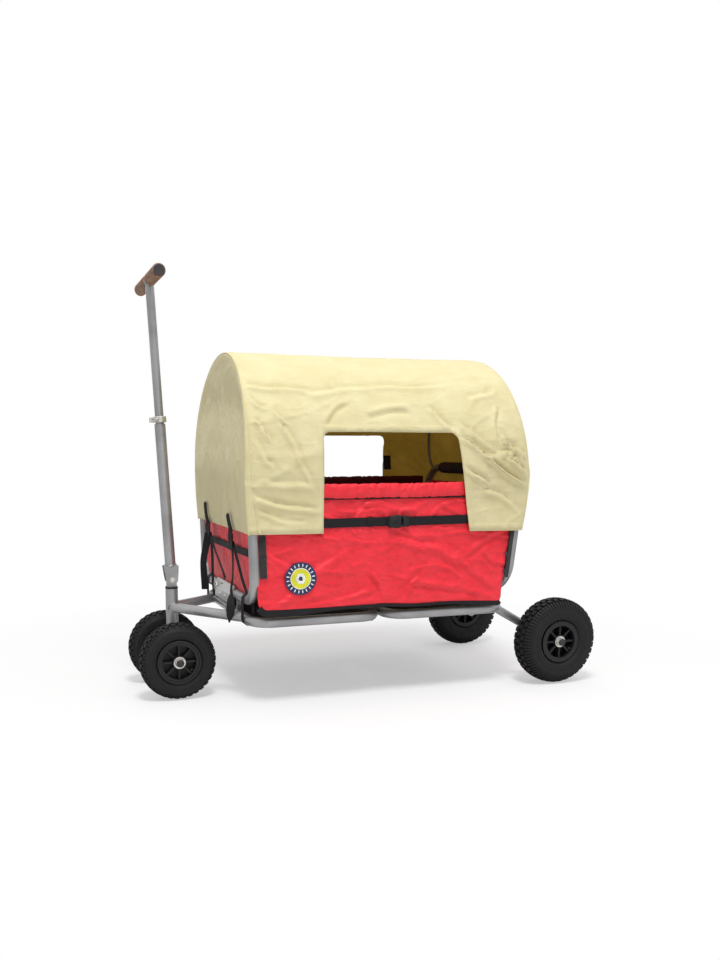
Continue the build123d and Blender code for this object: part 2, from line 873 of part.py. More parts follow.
for hand, side in (("left", 1), ("right", -1)):
    panel = side_sheet(
        side_panel_low, rim_high, side * panel_y, panel_thickness, side_panel_corner
    )
    rolled_rim = side_sheet(rim_low, rim_high, side * panel_y, rim_thickness)
    finish(panel + rolled_rim, f"side_panel_{hand}")
    finish(
        side_sheet(
            strap_height - strap_width / 2, strap_height + strap_width / 2,
            side * (strap_y + strap_thickness / 2), strap_thickness,
        ),
        f"side_strap_{hand}",
    )
    buckle_plane = Plane(
        (middle_x + buckle_x, side * (strap_y + strap_thickness + fabric_gap), strap_height),
        x_dir=(1, 0, 0), z_dir=(0, side, 0),
    )
    with BuildPart() as buckle:
        with BuildSketch(buckle_plane):
            RectangleRounded(buckle_length, buckle_width, buckle_width / 5)
        extrude(amount=buckle_thickness)
    finish(buckle.part, f"strap_buckle_{hand}")


def end_panel(plane, lean, radius, top):
    """An end panel that fills its hoop up to a height."""
    inset = radius + fabric_gap
    local_top = (top - hoop_bottom) / cos(radians(lean))
    with BuildPart() as panel:
        with BuildSketch(plane):
            with BuildLine():
                FilletPolyline(
                    (-hoop_half_width + inset, inset),
                    (hoop_half_width - inset, inset),
                    (hoop_half_width - inset, hoop_height - inset),
                    (-hoop_half_width + inset, hoop_height - inset),
                    radius=[
                        hoop_bottom_bend - inset, hoop_bottom_bend - inset,
                        hoop_top_bend - inset, hoop_top_bend - inset,
                    ],
                    close=True,
                )
            make_face()
            with Locations((0, local_top / 2)):
                Rectangle(2 * hoop_half_width, local_top, mode=Mode.INTERSECT)
        extrude(amount=end_panel_thickness / 2, both=True)
    return panel.part


finish(end_panel(front_plane, front_hoop_lean, tube_radius, front_panel_top), "end_panel_front")
finish(end_panel(rear_plane, rear_hoop_lean, slim_tube_radius, rear_panel_top), "end_panel_rear")

# Latch plate on the front hoop's bottom tube, bent back over it
front_face = front_hoop_x + tube_radius + fabric_gap
with BuildPart() as latch:
    with BuildSketch(Plane.XZ):
        with BuildLine():
            Polyline(
                (front_face, hoop_bottom - latch_low),
                (front_face + latch_plate, hoop_bottom - latch_low),
                (front_face + latch_plate, hoop_bottom - latch_bend),
                (front_face + latch_plate - latch_lean, hoop_bottom + latch_high),
                (front_face - latch_lean, hoop_bottom + latch_high),
                (front_face, hoop_bottom - latch_bend),
                close=True,
            )
        make_face()
    extrude(amount=latch_half_width, both=True)
finish(latch.part - front_hoop, "latch_plate")
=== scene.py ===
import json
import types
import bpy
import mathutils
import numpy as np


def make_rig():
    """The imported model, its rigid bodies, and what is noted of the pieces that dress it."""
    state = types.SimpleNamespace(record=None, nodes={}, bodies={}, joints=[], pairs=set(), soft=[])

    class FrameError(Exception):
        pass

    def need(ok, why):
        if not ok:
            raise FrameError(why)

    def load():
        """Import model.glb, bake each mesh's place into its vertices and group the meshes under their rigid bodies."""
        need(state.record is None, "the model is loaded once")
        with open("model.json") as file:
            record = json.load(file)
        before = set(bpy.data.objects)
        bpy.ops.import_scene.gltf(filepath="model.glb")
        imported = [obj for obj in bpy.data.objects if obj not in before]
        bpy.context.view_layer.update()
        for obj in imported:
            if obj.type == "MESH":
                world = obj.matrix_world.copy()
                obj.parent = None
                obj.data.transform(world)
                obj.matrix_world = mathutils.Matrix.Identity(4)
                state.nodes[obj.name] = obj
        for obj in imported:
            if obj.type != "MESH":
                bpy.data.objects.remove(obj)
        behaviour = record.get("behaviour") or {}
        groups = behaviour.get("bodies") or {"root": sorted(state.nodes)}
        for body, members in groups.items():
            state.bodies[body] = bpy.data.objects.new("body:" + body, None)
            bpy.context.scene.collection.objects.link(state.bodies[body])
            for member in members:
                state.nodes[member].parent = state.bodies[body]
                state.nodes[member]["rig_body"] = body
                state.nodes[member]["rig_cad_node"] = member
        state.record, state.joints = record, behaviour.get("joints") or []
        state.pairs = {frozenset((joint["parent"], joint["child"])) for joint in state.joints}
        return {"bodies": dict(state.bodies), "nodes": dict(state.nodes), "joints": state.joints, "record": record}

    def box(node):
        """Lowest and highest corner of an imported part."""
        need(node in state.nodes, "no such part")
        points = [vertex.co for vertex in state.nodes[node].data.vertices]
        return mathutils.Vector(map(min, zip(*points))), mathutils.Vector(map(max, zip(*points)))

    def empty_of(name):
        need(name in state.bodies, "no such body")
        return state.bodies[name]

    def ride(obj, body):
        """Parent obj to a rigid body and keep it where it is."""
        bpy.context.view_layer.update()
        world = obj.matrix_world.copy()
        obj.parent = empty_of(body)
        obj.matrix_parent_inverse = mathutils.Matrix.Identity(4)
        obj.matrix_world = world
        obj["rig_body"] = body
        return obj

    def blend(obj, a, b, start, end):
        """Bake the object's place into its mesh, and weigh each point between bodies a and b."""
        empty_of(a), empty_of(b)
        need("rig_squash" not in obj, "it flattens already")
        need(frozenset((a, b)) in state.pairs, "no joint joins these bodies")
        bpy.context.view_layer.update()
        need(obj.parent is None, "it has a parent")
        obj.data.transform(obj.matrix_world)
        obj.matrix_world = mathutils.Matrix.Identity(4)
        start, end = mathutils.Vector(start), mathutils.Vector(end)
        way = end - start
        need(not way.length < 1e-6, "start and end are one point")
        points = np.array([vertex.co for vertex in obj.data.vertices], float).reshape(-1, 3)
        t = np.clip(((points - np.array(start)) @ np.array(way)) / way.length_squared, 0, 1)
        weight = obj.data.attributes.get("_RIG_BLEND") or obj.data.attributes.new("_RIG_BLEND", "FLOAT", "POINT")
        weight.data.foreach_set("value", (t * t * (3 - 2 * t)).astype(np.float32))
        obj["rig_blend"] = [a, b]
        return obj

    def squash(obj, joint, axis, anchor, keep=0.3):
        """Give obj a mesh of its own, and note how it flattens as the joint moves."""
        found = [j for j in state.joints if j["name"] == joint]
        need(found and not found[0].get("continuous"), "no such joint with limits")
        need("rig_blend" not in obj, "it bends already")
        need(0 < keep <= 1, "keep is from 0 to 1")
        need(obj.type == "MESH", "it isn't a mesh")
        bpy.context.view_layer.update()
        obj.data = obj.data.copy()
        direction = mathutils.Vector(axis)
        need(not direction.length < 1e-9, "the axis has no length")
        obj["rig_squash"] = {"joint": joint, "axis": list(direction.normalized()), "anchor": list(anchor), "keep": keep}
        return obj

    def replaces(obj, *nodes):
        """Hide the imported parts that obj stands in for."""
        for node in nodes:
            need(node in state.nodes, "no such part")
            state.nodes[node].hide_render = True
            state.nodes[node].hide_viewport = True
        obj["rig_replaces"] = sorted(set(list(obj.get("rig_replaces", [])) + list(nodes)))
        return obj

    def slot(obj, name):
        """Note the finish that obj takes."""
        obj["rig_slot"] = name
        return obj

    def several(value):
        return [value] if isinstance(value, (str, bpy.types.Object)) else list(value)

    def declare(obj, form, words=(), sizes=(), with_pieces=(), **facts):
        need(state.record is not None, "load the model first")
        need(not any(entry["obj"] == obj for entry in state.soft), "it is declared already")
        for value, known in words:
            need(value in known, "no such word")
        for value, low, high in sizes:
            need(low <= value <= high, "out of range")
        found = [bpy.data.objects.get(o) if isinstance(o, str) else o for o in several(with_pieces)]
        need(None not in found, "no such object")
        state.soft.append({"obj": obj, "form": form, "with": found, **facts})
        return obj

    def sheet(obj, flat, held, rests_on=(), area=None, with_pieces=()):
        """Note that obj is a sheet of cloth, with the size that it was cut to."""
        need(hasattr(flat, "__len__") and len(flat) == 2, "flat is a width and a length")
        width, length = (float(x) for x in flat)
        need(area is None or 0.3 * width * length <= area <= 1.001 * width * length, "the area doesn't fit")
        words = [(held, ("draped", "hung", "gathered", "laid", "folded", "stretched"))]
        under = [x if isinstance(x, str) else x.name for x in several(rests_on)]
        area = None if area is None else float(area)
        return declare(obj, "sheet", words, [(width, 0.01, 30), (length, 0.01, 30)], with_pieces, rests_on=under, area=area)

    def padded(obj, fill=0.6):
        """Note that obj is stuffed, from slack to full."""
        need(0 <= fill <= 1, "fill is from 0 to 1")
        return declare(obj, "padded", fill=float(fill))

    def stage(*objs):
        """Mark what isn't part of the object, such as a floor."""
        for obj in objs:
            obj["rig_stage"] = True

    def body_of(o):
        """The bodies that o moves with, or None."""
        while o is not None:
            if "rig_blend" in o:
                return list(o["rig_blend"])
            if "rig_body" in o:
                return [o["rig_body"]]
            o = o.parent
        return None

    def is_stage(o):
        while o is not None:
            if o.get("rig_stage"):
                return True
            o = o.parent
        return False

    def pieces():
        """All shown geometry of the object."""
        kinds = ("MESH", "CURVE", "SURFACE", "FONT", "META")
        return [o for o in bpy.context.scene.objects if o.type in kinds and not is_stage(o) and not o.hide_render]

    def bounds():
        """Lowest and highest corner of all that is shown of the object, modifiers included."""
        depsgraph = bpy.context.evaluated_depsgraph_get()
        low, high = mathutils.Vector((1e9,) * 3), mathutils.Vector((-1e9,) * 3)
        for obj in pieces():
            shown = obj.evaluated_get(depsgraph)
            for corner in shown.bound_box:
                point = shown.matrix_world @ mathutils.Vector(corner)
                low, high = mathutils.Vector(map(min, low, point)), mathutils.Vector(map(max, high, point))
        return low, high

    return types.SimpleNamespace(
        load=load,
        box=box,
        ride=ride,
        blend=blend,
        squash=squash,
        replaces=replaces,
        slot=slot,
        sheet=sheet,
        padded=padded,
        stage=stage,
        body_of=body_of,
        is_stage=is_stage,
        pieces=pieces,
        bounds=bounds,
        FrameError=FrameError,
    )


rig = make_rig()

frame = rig.load()

import json
import math
import random

import bpy
import numpy as np
from mathutils import Vector, noise

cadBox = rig.bounds()
scene = bpy.context.scene
mm = 0.001


def stage(text):
    print("scene:", text)


def box(node):
    low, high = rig.box(node)
    return np.array(low), np.array(high)


def tint(red, green, blue):
    # a screen colour from 0 to 255, as the linear value that a shader takes
    return tuple(
        c / 12.92 if c <= 0.04045 else ((c + 0.055) / 1.055) ** 2.4
        for c in (red / 255, green / 255, blue / 255)
    )


frontHoopBox, rearHoopBox = box("hoop_front"), box("hoop_rear")
canopyLow, canopyHigh = box("canopy")
panelLow = box("side_panel_left")[0]
strapLow, strapHigh = box("side_strap_left")
tubeRadius = (box("base_loop_front")[1][2] - box("base_loop_front")[0][2]) / 2
baseHeight = box("base_loop_front")[0][2] + tubeRadius
slimRadius = 12.5 * mm
frontHoopX = frontHoopBox[0][0] + tubeRadius
rearHoopX = rearHoopBox[1][0] - slimRadius
hoopHalfWidth = frontHoopBox[1][1] - tubeRadius
hoopLow = frontHoopBox[0][2] + tubeRadius
hoopTop = frontHoopBox[1][2] - tubeRadius
frontLean = (frontHoopBox[1][0] - tubeRadius - frontHoopX) / (hoopTop - hoopLow)
rearLean = (rearHoopBox[0][0] + slimRadius - rearHoopX) / (hoopTop - hoopLow)
middleX = (frontHoopX + rearHoopX) / 2


def frontHoopAt(z):
    return frontHoopX + (z - hoopLow) * frontLean


def rearHoopAt(z):
    return rearHoopX + (z - hoopLow) * rearLean


class Wire:
    # an output socket that sums can be written on
    def __init__(self, paint, socket):
        self.paint = paint
        self.socket = socket

    def math(self, operation, *values):
        return self.paint.node("ShaderNodeMath", {"operation": operation}, dict(enumerate(values)))

    def __add__(self, other):
        return self.math("ADD", self, other)

    def __sub__(self, other):
        return self.math("SUBTRACT", self, other)

    def __rsub__(self, other):
        return self.math("SUBTRACT", other, self)

    def __mul__(self, other):
        return self.math("MULTIPLY", self, other)

    def __truediv__(self, other):
        return self.math("DIVIDE", self, other)

    def clip(self):
        return self.math("MINIMUM", self.math("MAXIMUM", self, 0.0), 1.0)

    def sine(self):
        return self.math("SINE", self)

    __radd__ = __add__
    __rmul__ = __mul__


class Paint:
    # the nodes of a new material, or of the tree that is handed in
    def __init__(self, name, tree=None):
        if tree is None:
            self.material = bpy.data.materials.new(name)
            self.material.use_nodes = True
            tree = self.material.node_tree
        self.tree = tree
        self.tree.nodes.clear()

    def node(self, kind, settings=None, inputs=None, out=0):
        made = self.tree.nodes.new(kind)
        for key, value in (settings or {}).items():
            if key == "stops":
                stops = made.color_ramp.elements
                stops[0].position, stops[1].position = value[0][0], value[-1][0]
                for place, _ in value[1:-1]:
                    stops.new(place)
                for stop, (_, shade) in zip(stops, value):
                    stop.color = (*shade, 1)
            else:
                setattr(made, key, value)
        for key, value in (inputs or {}).items():
            if isinstance(value, Wire):
                self.tree.links.new(value.socket, made.inputs[key])
            else:
                made.inputs[key].default_value = value
        return Wire(self, made.outputs[out]) if made.outputs else made

    def position(self):
        return self.node("ShaderNodeTexCoord", out="Object")

    def cloth(self, axis):
        # metres along the cloth, 0 along its first way and 1 along its second
        layer = self.node("ShaderNodeUVMap", {"uv_map": "cloth"})
        return self.node("ShaderNodeSeparateXYZ", {}, {0: layer}, axis)

    def noise(self, scale, detail=2.0, rough=0.5, where=None):
        where = where or self.position()
        inputs = {"Vector": where, "Scale": scale, "Detail": detail, "Roughness": rough}
        return self.node("ShaderNodeTexNoise", {}, inputs)

    def ramp(self, factor, stops):
        stops = [(place, (s, s, s) if isinstance(s, (int, float)) else s) for place, s in stops]
        return self.node("ShaderNodeValToRGB", {"stops": stops}, {0: factor})

    def mix(self, factor, first, second, how="MIX"):
        first, second = ((*c, 1) if isinstance(c, tuple) else c for c in (first, second))
        settings = {"data_type": "RGBA", "blend_type": how}
        return self.node("ShaderNodeMix", settings, {0: factor, 6: first, 7: second}, 2)

    def bump(self, height, distance, strength=1.0, under=None):
        inputs = {"Height": height, "Distance": distance, "Strength": strength}
        if under:
            inputs["Normal"] = under
        return self.node("ShaderNodeBump", {}, inputs)

    def finish(self, **sockets):
        inputs = {key.replace("_", " "): value for key, value in sockets.items()}
        for key, value in inputs.items():
            if isinstance(value, tuple) and len(value) == 3:
                inputs[key] = (*value, 1)
        shader = self.node("ShaderNodeBsdfPrincipled", {}, inputs)
        self.node("ShaderNodeOutputMaterial", {}, {0: shader})
        return self.material


def tubePaint():
    # silver powder coat with a fine orange peel and a few rubbed patches
    look = {"base": tint(166, 166, 167), "dark": tint(140, 140, 142), "rub": tint(186, 186, 186)}
    p = Paint("satinGreyTube")
    cloud = p.noise(9, 4)
    rub = p.ramp(p.noise(55, 6, 0.7), [(0.60, 0.0), (0.72, 1.0)])
    shade = p.mix(p.ramp(cloud, [(0.35, 0.0), (0.7, 1.0)]), look["dark"], look["base"])
    shade = p.mix(rub * 0.35, shade, look["rub"])
    peel = p.bump(p.noise(1400, 2), 0.06 * mm, 0.5)
    return p.finish(
        Base_Color=shade, Metallic=0.62, Roughness=0.30 + cloud * 0.14, Normal=peel, Coat_Weight=0.12
    )


def zincPaint(name, shade, rough):
    # zinc plate: spangled, brighter where it is rubbed
    p = Paint(name)
    spangle = p.node("ShaderNodeTexVoronoi", {}, {"Vector": p.position(), "Scale": 420.0}, "Color")
    grey = p.node("ShaderNodeRGBToBW", {}, {0: spangle})
    stain = p.noise(120, 5, 0.65)
    dim = tuple(0.62 * c for c in shade)
    colour = p.mix(grey * 0.35 + stain * 0.5, dim, shade)
    scratch = p.bump(p.noise(900, 3, 0.7), 0.05 * mm, 0.6)
    return p.finish(Base_Color=colour, Metallic=0.9, Roughness=rough + stain * 0.22, Normal=scratch)


def plasticPaint(name, shade, rough=0.42, grain=0.08):
    # moulded plastic with a fine spark-eroded grain
    p = Paint(name)
    cloud = p.noise(40, 3)
    light = tuple(1.7 * c + 0.004 for c in shade)
    grainBump = p.bump(p.noise(1900, 2, 0.6), grain * mm, 0.55)
    return p.finish(
        Base_Color=p.mix(cloud, shade, light), Roughness=rough + cloud * 0.12, Normal=grainBump,
        Specular_IOR_Level=0.3,
    )


def rubberPaint():
    # tyre rubber: matt, dusty on the flanks
    look = {"black": tint(24, 23, 24), "dust": tint(44, 42, 42)}
    p = Paint("tyreRubber")
    dust = p.ramp(p.noise(28, 6, 0.68), [(0.42, 0.0), (0.75, 1.0)])
    speck = p.noise(700, 2)
    colour = p.mix(dust * 0.55, look["black"], look["dust"])
    skin = p.bump(speck, 0.12 * mm, 0.5)
    return p.finish(Base_Color=colour, Roughness=0.62 + dust * 0.18, Normal=skin, Specular_IOR_Level=0.25)


def wovenPaint(name, shade, deep, thread, rough, pucker, sheen=0.0, spread=14, through=0.0, crumpled=0.6):
    # plain-woven cloth: threads along and across the cloth, with soft puckers and faded patches; through makes it glow
    # faintly in its own colour, painted light that stands in for light shining through the cloth
    p = Paint(name)
    turn = 2 * math.pi / thread
    along, across = p.cloth(0), p.cloth(1)
    weave = (along * turn).sine() * (across * turn).sine() * 0.5 + 0.5
    slub = p.noise(900, 2)
    fade = p.noise(spread, 5, 0.6)
    colour = p.mix(p.ramp(fade, [(0.3, 0.0), (0.72, 1.0)]), deep, shade)
    colour = p.mix((1 - weave) * 0.22 + slub * 0.10, colour, tuple(0.55 * c for c in deep))
    drawn = p.node("ShaderNodeVectorMath", {"operation": "MULTIPLY"}, {0: p.position(), 1: (0.5, 1, 1.15)})
    lines = 0.0
    for scale, tall, thin in ((6.5, 1.0, 9.0), (15.0, 0.6, 7.0), (38.0, 0.3, 5.0)):
        ridge = (p.noise(scale, 2, 0.5, drawn) - 0.5) * thin
        ridge = 1 - ridge.math("ABSOLUTE", ridge)
        ridge = ridge.math("MAXIMUM", ridge, 0.0)
        lines = ridge * ridge * tall + lines
    folds = p.bump(lines, crumpled * mm, 0.9)
    creases = p.bump(p.noise(75, 4, 0.55), pucker * mm, 0.8, folds)
    # painted light: a faint glow in the cloth's own colour, standing in for light that shines through the cloth
    light = {"Emission_Color": colour, "Emission_Strength": through} if through else {}
    threads = p.bump(weave, 0.12 * mm, 0.7, creases)
    return p.finish(
        Base_Color=colour, Roughness=rough + slub * 0.08, Normal=threads,
        Sheen_Weight=sheen, Sheen_Roughness=0.5, Specular_IOR_Level=0.3, **light,
    )


def webbingPaint():
    # ribbed nylon webbing: ribs across it, a twill along it
    look = {"black": tint(14, 14, 16), "rib": tint(32, 32, 35)}
    p = Paint("blackWebbing")
    ribs = (p.cloth(0) * (2 * math.pi / (1.6 * mm))).sine() * 0.5 + 0.5
    twill = ((p.cloth(0) + p.cloth(1)) * (2 * math.pi / (2.4 * mm))).sine() * 0.5 + 0.5
    colour = p.mix(ribs * 0.5 + p.noise(300, 3) * 0.4, look["black"], look["rib"])
    relief = p.bump(ribs * 0.7 + twill * 0.3, 0.25 * mm, 0.8)
    return p.finish(Base_Color=colour, Roughness=0.62, Normal=relief, Specular_IOR_Level=0.2)


def fuzzPaint():
    # hook-and-loop tape: a field of tiny loops
    look = {"black": tint(14, 14, 16), "loop": tint(40, 40, 43)}
    p = Paint("hookAndLoop")
    loops = p.node("ShaderNodeTexVoronoi", {}, {"Vector": p.position(), "Scale": 900.0})
    fluff = p.noise(240, 5, 0.7)
    colour = p.mix(p.ramp(fluff, [(0.4, 0.0), (0.7, 1.0)]), look["black"], look["loop"])
    return p.finish(
        Base_Color=colour, Roughness=0.88, Normal=p.bump(1 - loops, 0.4 * mm, 0.9), Sheen_Weight=0.4
    )


def foamPaint():
    # closed-cell foam sleeve, worn to a dull maroon where hands push it
    look = {"black": tint(30, 27, 31), "worn": tint(66, 34, 48)}
    p = Paint("blackFoam")
    worn = p.ramp(p.noise(16, 4), [(0.40, 0.0), (0.66, 1.0)])
    cells = p.node("ShaderNodeTexVoronoi", {}, {"Vector": p.position(), "Scale": 950.0})
    colour = p.mix(worn, look["black"], look["worn"])
    return p.finish(Base_Color=colour, Roughness=0.8, Normal=p.bump(cells, 0.25 * mm, 0.8))


def gripPaint():
    # cork-like brown grip, mottled light and dark
    look = {"dark": tint(82, 52, 36), "brown": tint(128, 92, 66), "light": tint(170, 138, 108)}
    p = Paint("brownGrip")
    mottle = p.noise(95, 6, 0.72)
    stops = [(0.34, look["dark"]), (0.52, look["brown"]), (0.70, look["light"])]
    pits = p.node("ShaderNodeTexVoronoi", {}, {"Vector": p.position(), "Scale": 260.0})
    relief = p.bump(p.ramp(pits, [(0.0, 0.0), (0.35, 1.0)]) + mottle * 0.5, 0.35 * mm, 0.6)
    return p.finish(Base_Color=p.ramp(mottle, stops), Roughness=0.66, Normal=relief)


def plainPaint(name, shade, rough=0.6):
    # a printed or moulded patch of one colour, with a little mottling
    p = Paint(name)
    cloud = p.noise(160, 4)
    dim = tuple(0.82 * c for c in shade)
    weave = p.bump(p.noise(1500, 2), 0.08 * mm, 0.5)
    return p.finish(Base_Color=p.mix(cloud, dim, shade), Roughness=rough, Normal=weave)


tubeGrey = tubePaint()
zinc = zincPaint("zincSteel", tint(224, 222, 216), 0.2)
latchZinc = zincPaint("latchZinc", tint(222, 222, 220), 0.36)
blackPlastic = plasticPaint("blackPlastic", tint(19, 19, 20))
darkPlug = plasticPaint("darkPlug", tint(46, 42, 44), 0.55)
tyreRubber = rubberPaint()
canvasOutside = wovenPaint(
    "creamCanvas", tint(228, 218, 174), tint(218, 206, 158), 1.3 * mm, 0.78, 0.6, 0.12, crumpled=1.1
)
# the canopy's inner face: a darker mustard copy of the cream canvas, painted shade tinted like light through the cloth,
# with a faint painted glow
canvasInside = wovenPaint(
    "canvasInside", tint(196, 160, 66), tint(170, 136, 50), 1.3 * mm, 0.8, 0.8, through=0.16
)
redCloth = wovenPaint(
    "redFabric", tint(252, 56, 70), tint(236, 40, 54), 1.1 * mm, 0.42, 2.2, 0.10, 22, crumpled=2.1
)
redInside = wovenPaint("redInside", tint(112, 24, 40), tint(84, 16, 30), 1.1 * mm, 0.62, 1.2)
bindingCloth = wovenPaint("blackBinding", tint(26, 26, 28), tint(16, 16, 18), 1.0 * mm, 0.7, 0.6)
floorCloth = wovenPaint("floorCloth", tint(44, 40, 46), tint(30, 28, 33), 1.4 * mm, 0.75, 1.0)
webbing = webbingPaint()
fuzz = fuzzPaint()
foam = foamPaint()
grip = gripPaint()
thread = plainPaint("creamThread", tint(214, 204, 162), 0.7)
redThread = plainPaint("redThread", tint(160, 24, 36), 0.7)
badgeNavy = plainPaint("badgeNavy", tint(20, 38, 84), 0.45)
badgeWhite = plainPaint("badgeWhite", tint(240, 240, 238), 0.45)
badgeYellow = plainPaint("badgeYellow", tint(222, 222, 40), 0.45)
stage("materials")


def unit(vectors):
    vectors = np.asarray(vectors, float)
    return vectors / np.maximum(np.linalg.norm(vectors, axis=-1, keepdims=True), 1e-12)


def ease(x):
    x = np.clip(x, 0, 1)
    return x * x * (3 - 2 * x)


def hump(x, at, wide):
    return np.exp(-(((x - at) / wide) ** 2))


def runAlong(line):
    # how far along the line each of its points is
    return np.concatenate([[0], np.cumsum(np.linalg.norm(np.diff(line, axis=0), axis=1))])


def lengthAlong(line):
    return float(np.linalg.norm(np.diff(line, axis=0), axis=1).sum())


def quads(rows, wide, order=(0, 1, 2, 3), rowsMeet=False, endsMeet=False, keep=None):
    # the faces of a net of points; order says where each face starts and which way it goes
    faces = []
    for i in range(rows if rowsMeet else rows - 1):
        a, b = i * wide, (i + 1) % rows * wide
        for k in range(wide if endsMeet else wide - 1):
            n = (k + 1) % wide
            if keep is None or keep(i, k):
                corners = (a + k, b + k, b + n, a + n)
                faces.append(tuple(corners[c] for c in order))
    return faces


def smoothLine(points, spacing=4 * mm):
    # an even line that passes through the points without corners
    points = np.asarray(points, float)
    ends = [2 * points[0] - points[1], *points, 2 * points[-1] - points[-2]]
    fine = []
    for a, b, c, d in zip(ends, ends[1:], ends[2:], ends[3:]):
        for t in np.linspace(0, 1, 16, endpoint=False):
            square, cube = 2 * a - 5 * b + 4 * c - d, 3 * b - a - 3 * c + d
            fine.append(0.5 * (2 * b + (c - a) * t + square * t**2 + cube * t**3))
    return evenLine([*fine, points[-1]], spacing)


def evenLine(points, spacing):
    points = np.asarray(points, float)
    run = runAlong(points)
    count = max(2, int(round(run[-1] / spacing)) + 1)
    at = np.linspace(0, run[-1], count)
    return np.stack([np.interp(at, run, points[:, k]) for k in range(3)], axis=1)


def flatSection(width, thickness, edge=0.3):
    # the outline of a strap: across its width, then out from its face
    w, t = width / 2, thickness / 2
    e = min(edge * thickness, w)
    corners = [(w, t - e), (w - e, t), (-w + e, t), (-w, t - e)]
    return np.array(corners + [(-a, -b) for a, b in corners])


def roundSection(radius, count=10):
    turn = np.linspace(0, 2 * math.pi, count, endpoint=False)
    return np.stack([radius * np.cos(turn), radius * np.sin(turn)], axis=1)


def stack(*ways):
    # numbers and arrays side by side, as the last way of one array
    return np.stack(np.broadcast_arrays(*ways), axis=-1)


def grid(us, vs):
    return stack(*np.meshgrid(us, vs, indexing="ij"))


def endCaps(count, around):
    return [tuple(range(around)), tuple(reversed(range((count - 1) * around, count * around)))]


def swept(path, section, face, scale=None, closed=False):
    # the section carried along the path; its second way points along face
    path = np.asarray(path, float)
    face = np.broadcast_to(np.asarray(face, float), path.shape)
    if closed:
        ahead = unit(np.roll(path, -1, 0) - np.roll(path, 1, 0))
    else:
        ahead = unit(np.gradient(path, axis=0))
    across = unit(np.cross(ahead, face))
    out = unit(np.cross(across, ahead))
    scale = np.ones(len(path)) if scale is None else np.asarray(scale, float)
    if scale.ndim == 1:
        scale = np.stack([scale, scale], axis=1)
    rings = (
        path[:, None]
        + across[:, None] * (section[None, :, 0] * scale[:, 0:1])[..., None]
        + out[:, None] * (section[None, :, 1] * scale[:, 1:2])[..., None]
    )
    count, around = len(path), len(section)
    faces = quads(count, around, rowsMeet=closed, endsMeet=True)
    if not closed:
        faces += endCaps(count, around)
    return rings, faces, grid(runAlong(path), runAlong(section))


def turned(profile, centre, axis, count=48, closed=False):
    # the profile, a list of (radius, height), turned about an axis through centre
    axis = unit(axis)
    first = unit(np.cross(axis, (0.31, 0.87, 0.41)))
    second = np.cross(axis, first)
    profile = np.asarray(profile, float)
    turn = np.linspace(0, 2 * math.pi, count, endpoint=False)
    spoke = np.cos(turn)[:, None] * first + np.sin(turn)[:, None] * second
    points = np.asarray(centre) + spoke[:, None] * profile[None, :, 0:1] + axis * profile[None, :, 1:2]
    rows = len(profile)
    faces = quads(count, rows, (0, 3, 2, 1), rowsMeet=True, endsMeet=closed)
    if not closed:
        for k in (0, rows - 1):
            if profile[k, 0] > 1e-6:
                ring = [i * rows + k for i in range(count)]
                faces.append(tuple(ring if k == 0 else reversed(ring)))
    return points, faces, grid(turn * profile[:, 0].max(), runAlong(profile))


def lathe(profile, centre, axis, count=48, closed=False):
    # the same for a profile in mm
    return turned(np.array(profile) * mm, centre, axis, count, closed)


def ribbon(path, width, thickness, face, **more):
    # a strap laid along the path
    return swept(path, flatSection(width, thickness, 0.4), face, **more)


def slab(centre, along, face, length, width, thickness, edge=0.8 * mm):
    # a flat block with chamfered ends and rounded long edges
    centre, along = np.asarray(centre, float), unit(along)
    section = flatSection(width, thickness, min(0.45, edge / thickness))
    reach = length / 2
    path = [centre + along * r for r in (-reach, edge - reach, reach - edge, reach)]
    ends = np.array([[1 - 2 * edge / width, 1 - 1.2 * edge / thickness], [1, 1]])
    return swept(path, section, face, scale=ends[[0, 1, 1, 0]])


class Shape:
    # several meshes gathered into one piece
    def __init__(self):
        self.points, self.faces, self.uv, self.paints = [], [], [], []

    def add(self, made, paint=0):
        points, faces, uv = made
        start = len(self.points)
        self.points.extend(map(tuple, np.reshape(points, (-1, 3))))
        self.uv.extend(map(tuple, np.reshape(uv, (-1, 2))))
        self.faces.extend(tuple(start + k for k in f) for f in faces)
        self.paints.extend([paint] * len(faces))
        return self

    def build(self, name, paints, sharp=42):
        mesh = bpy.data.meshes.new(name)
        mesh.from_pydata(self.points, [], self.faces)
        layer = mesh.uv_layers.new(name="cloth")
        corner = np.empty(len(mesh.loops), int)
        mesh.loops.foreach_get("vertex_index", corner)
        layer.data.foreach_set("uv", np.array(self.uv, float)[corner].ravel())
        for paint in paints:
            mesh.materials.append(paint)
        mesh.polygons.foreach_set("material_index", self.paints)
        mesh.shade_smooth()
        mesh.set_sharp_from_angle(angle=math.radians(sharp))
        mesh.validate()
        piece = bpy.data.objects.new(name, mesh)
        scene.collection.objects.link(piece)
        return piece


def settled(piece, *changes):
    # the piece's mesh with its modifiers worked in
    for kind, settings in changes:
        modifier = piece.modifiers.new(kind, kind)
        for key, value in settings.items():
            setattr(modifier, key, value)
    shown = piece.evaluated_get(bpy.context.evaluated_depsgraph_get())
    mesh = bpy.data.meshes.new_from_object(shown)
    piece.modifiers.clear()
    piece.data = mesh
    return piece


def welded(piece, distance=0.02 * mm):
    return settled(piece, ("WELD", {"merge_threshold": distance}))


def thickened(piece, thickness, inside=1):
    # cloth of that thickness, laid inwards, whose inner face has the next material
    settings = {"thickness": thickness, "offset": -1, "material_offset": inside, "material_offset_rim": 0}
    return settled(piece, ("SOLIDIFY", settings))


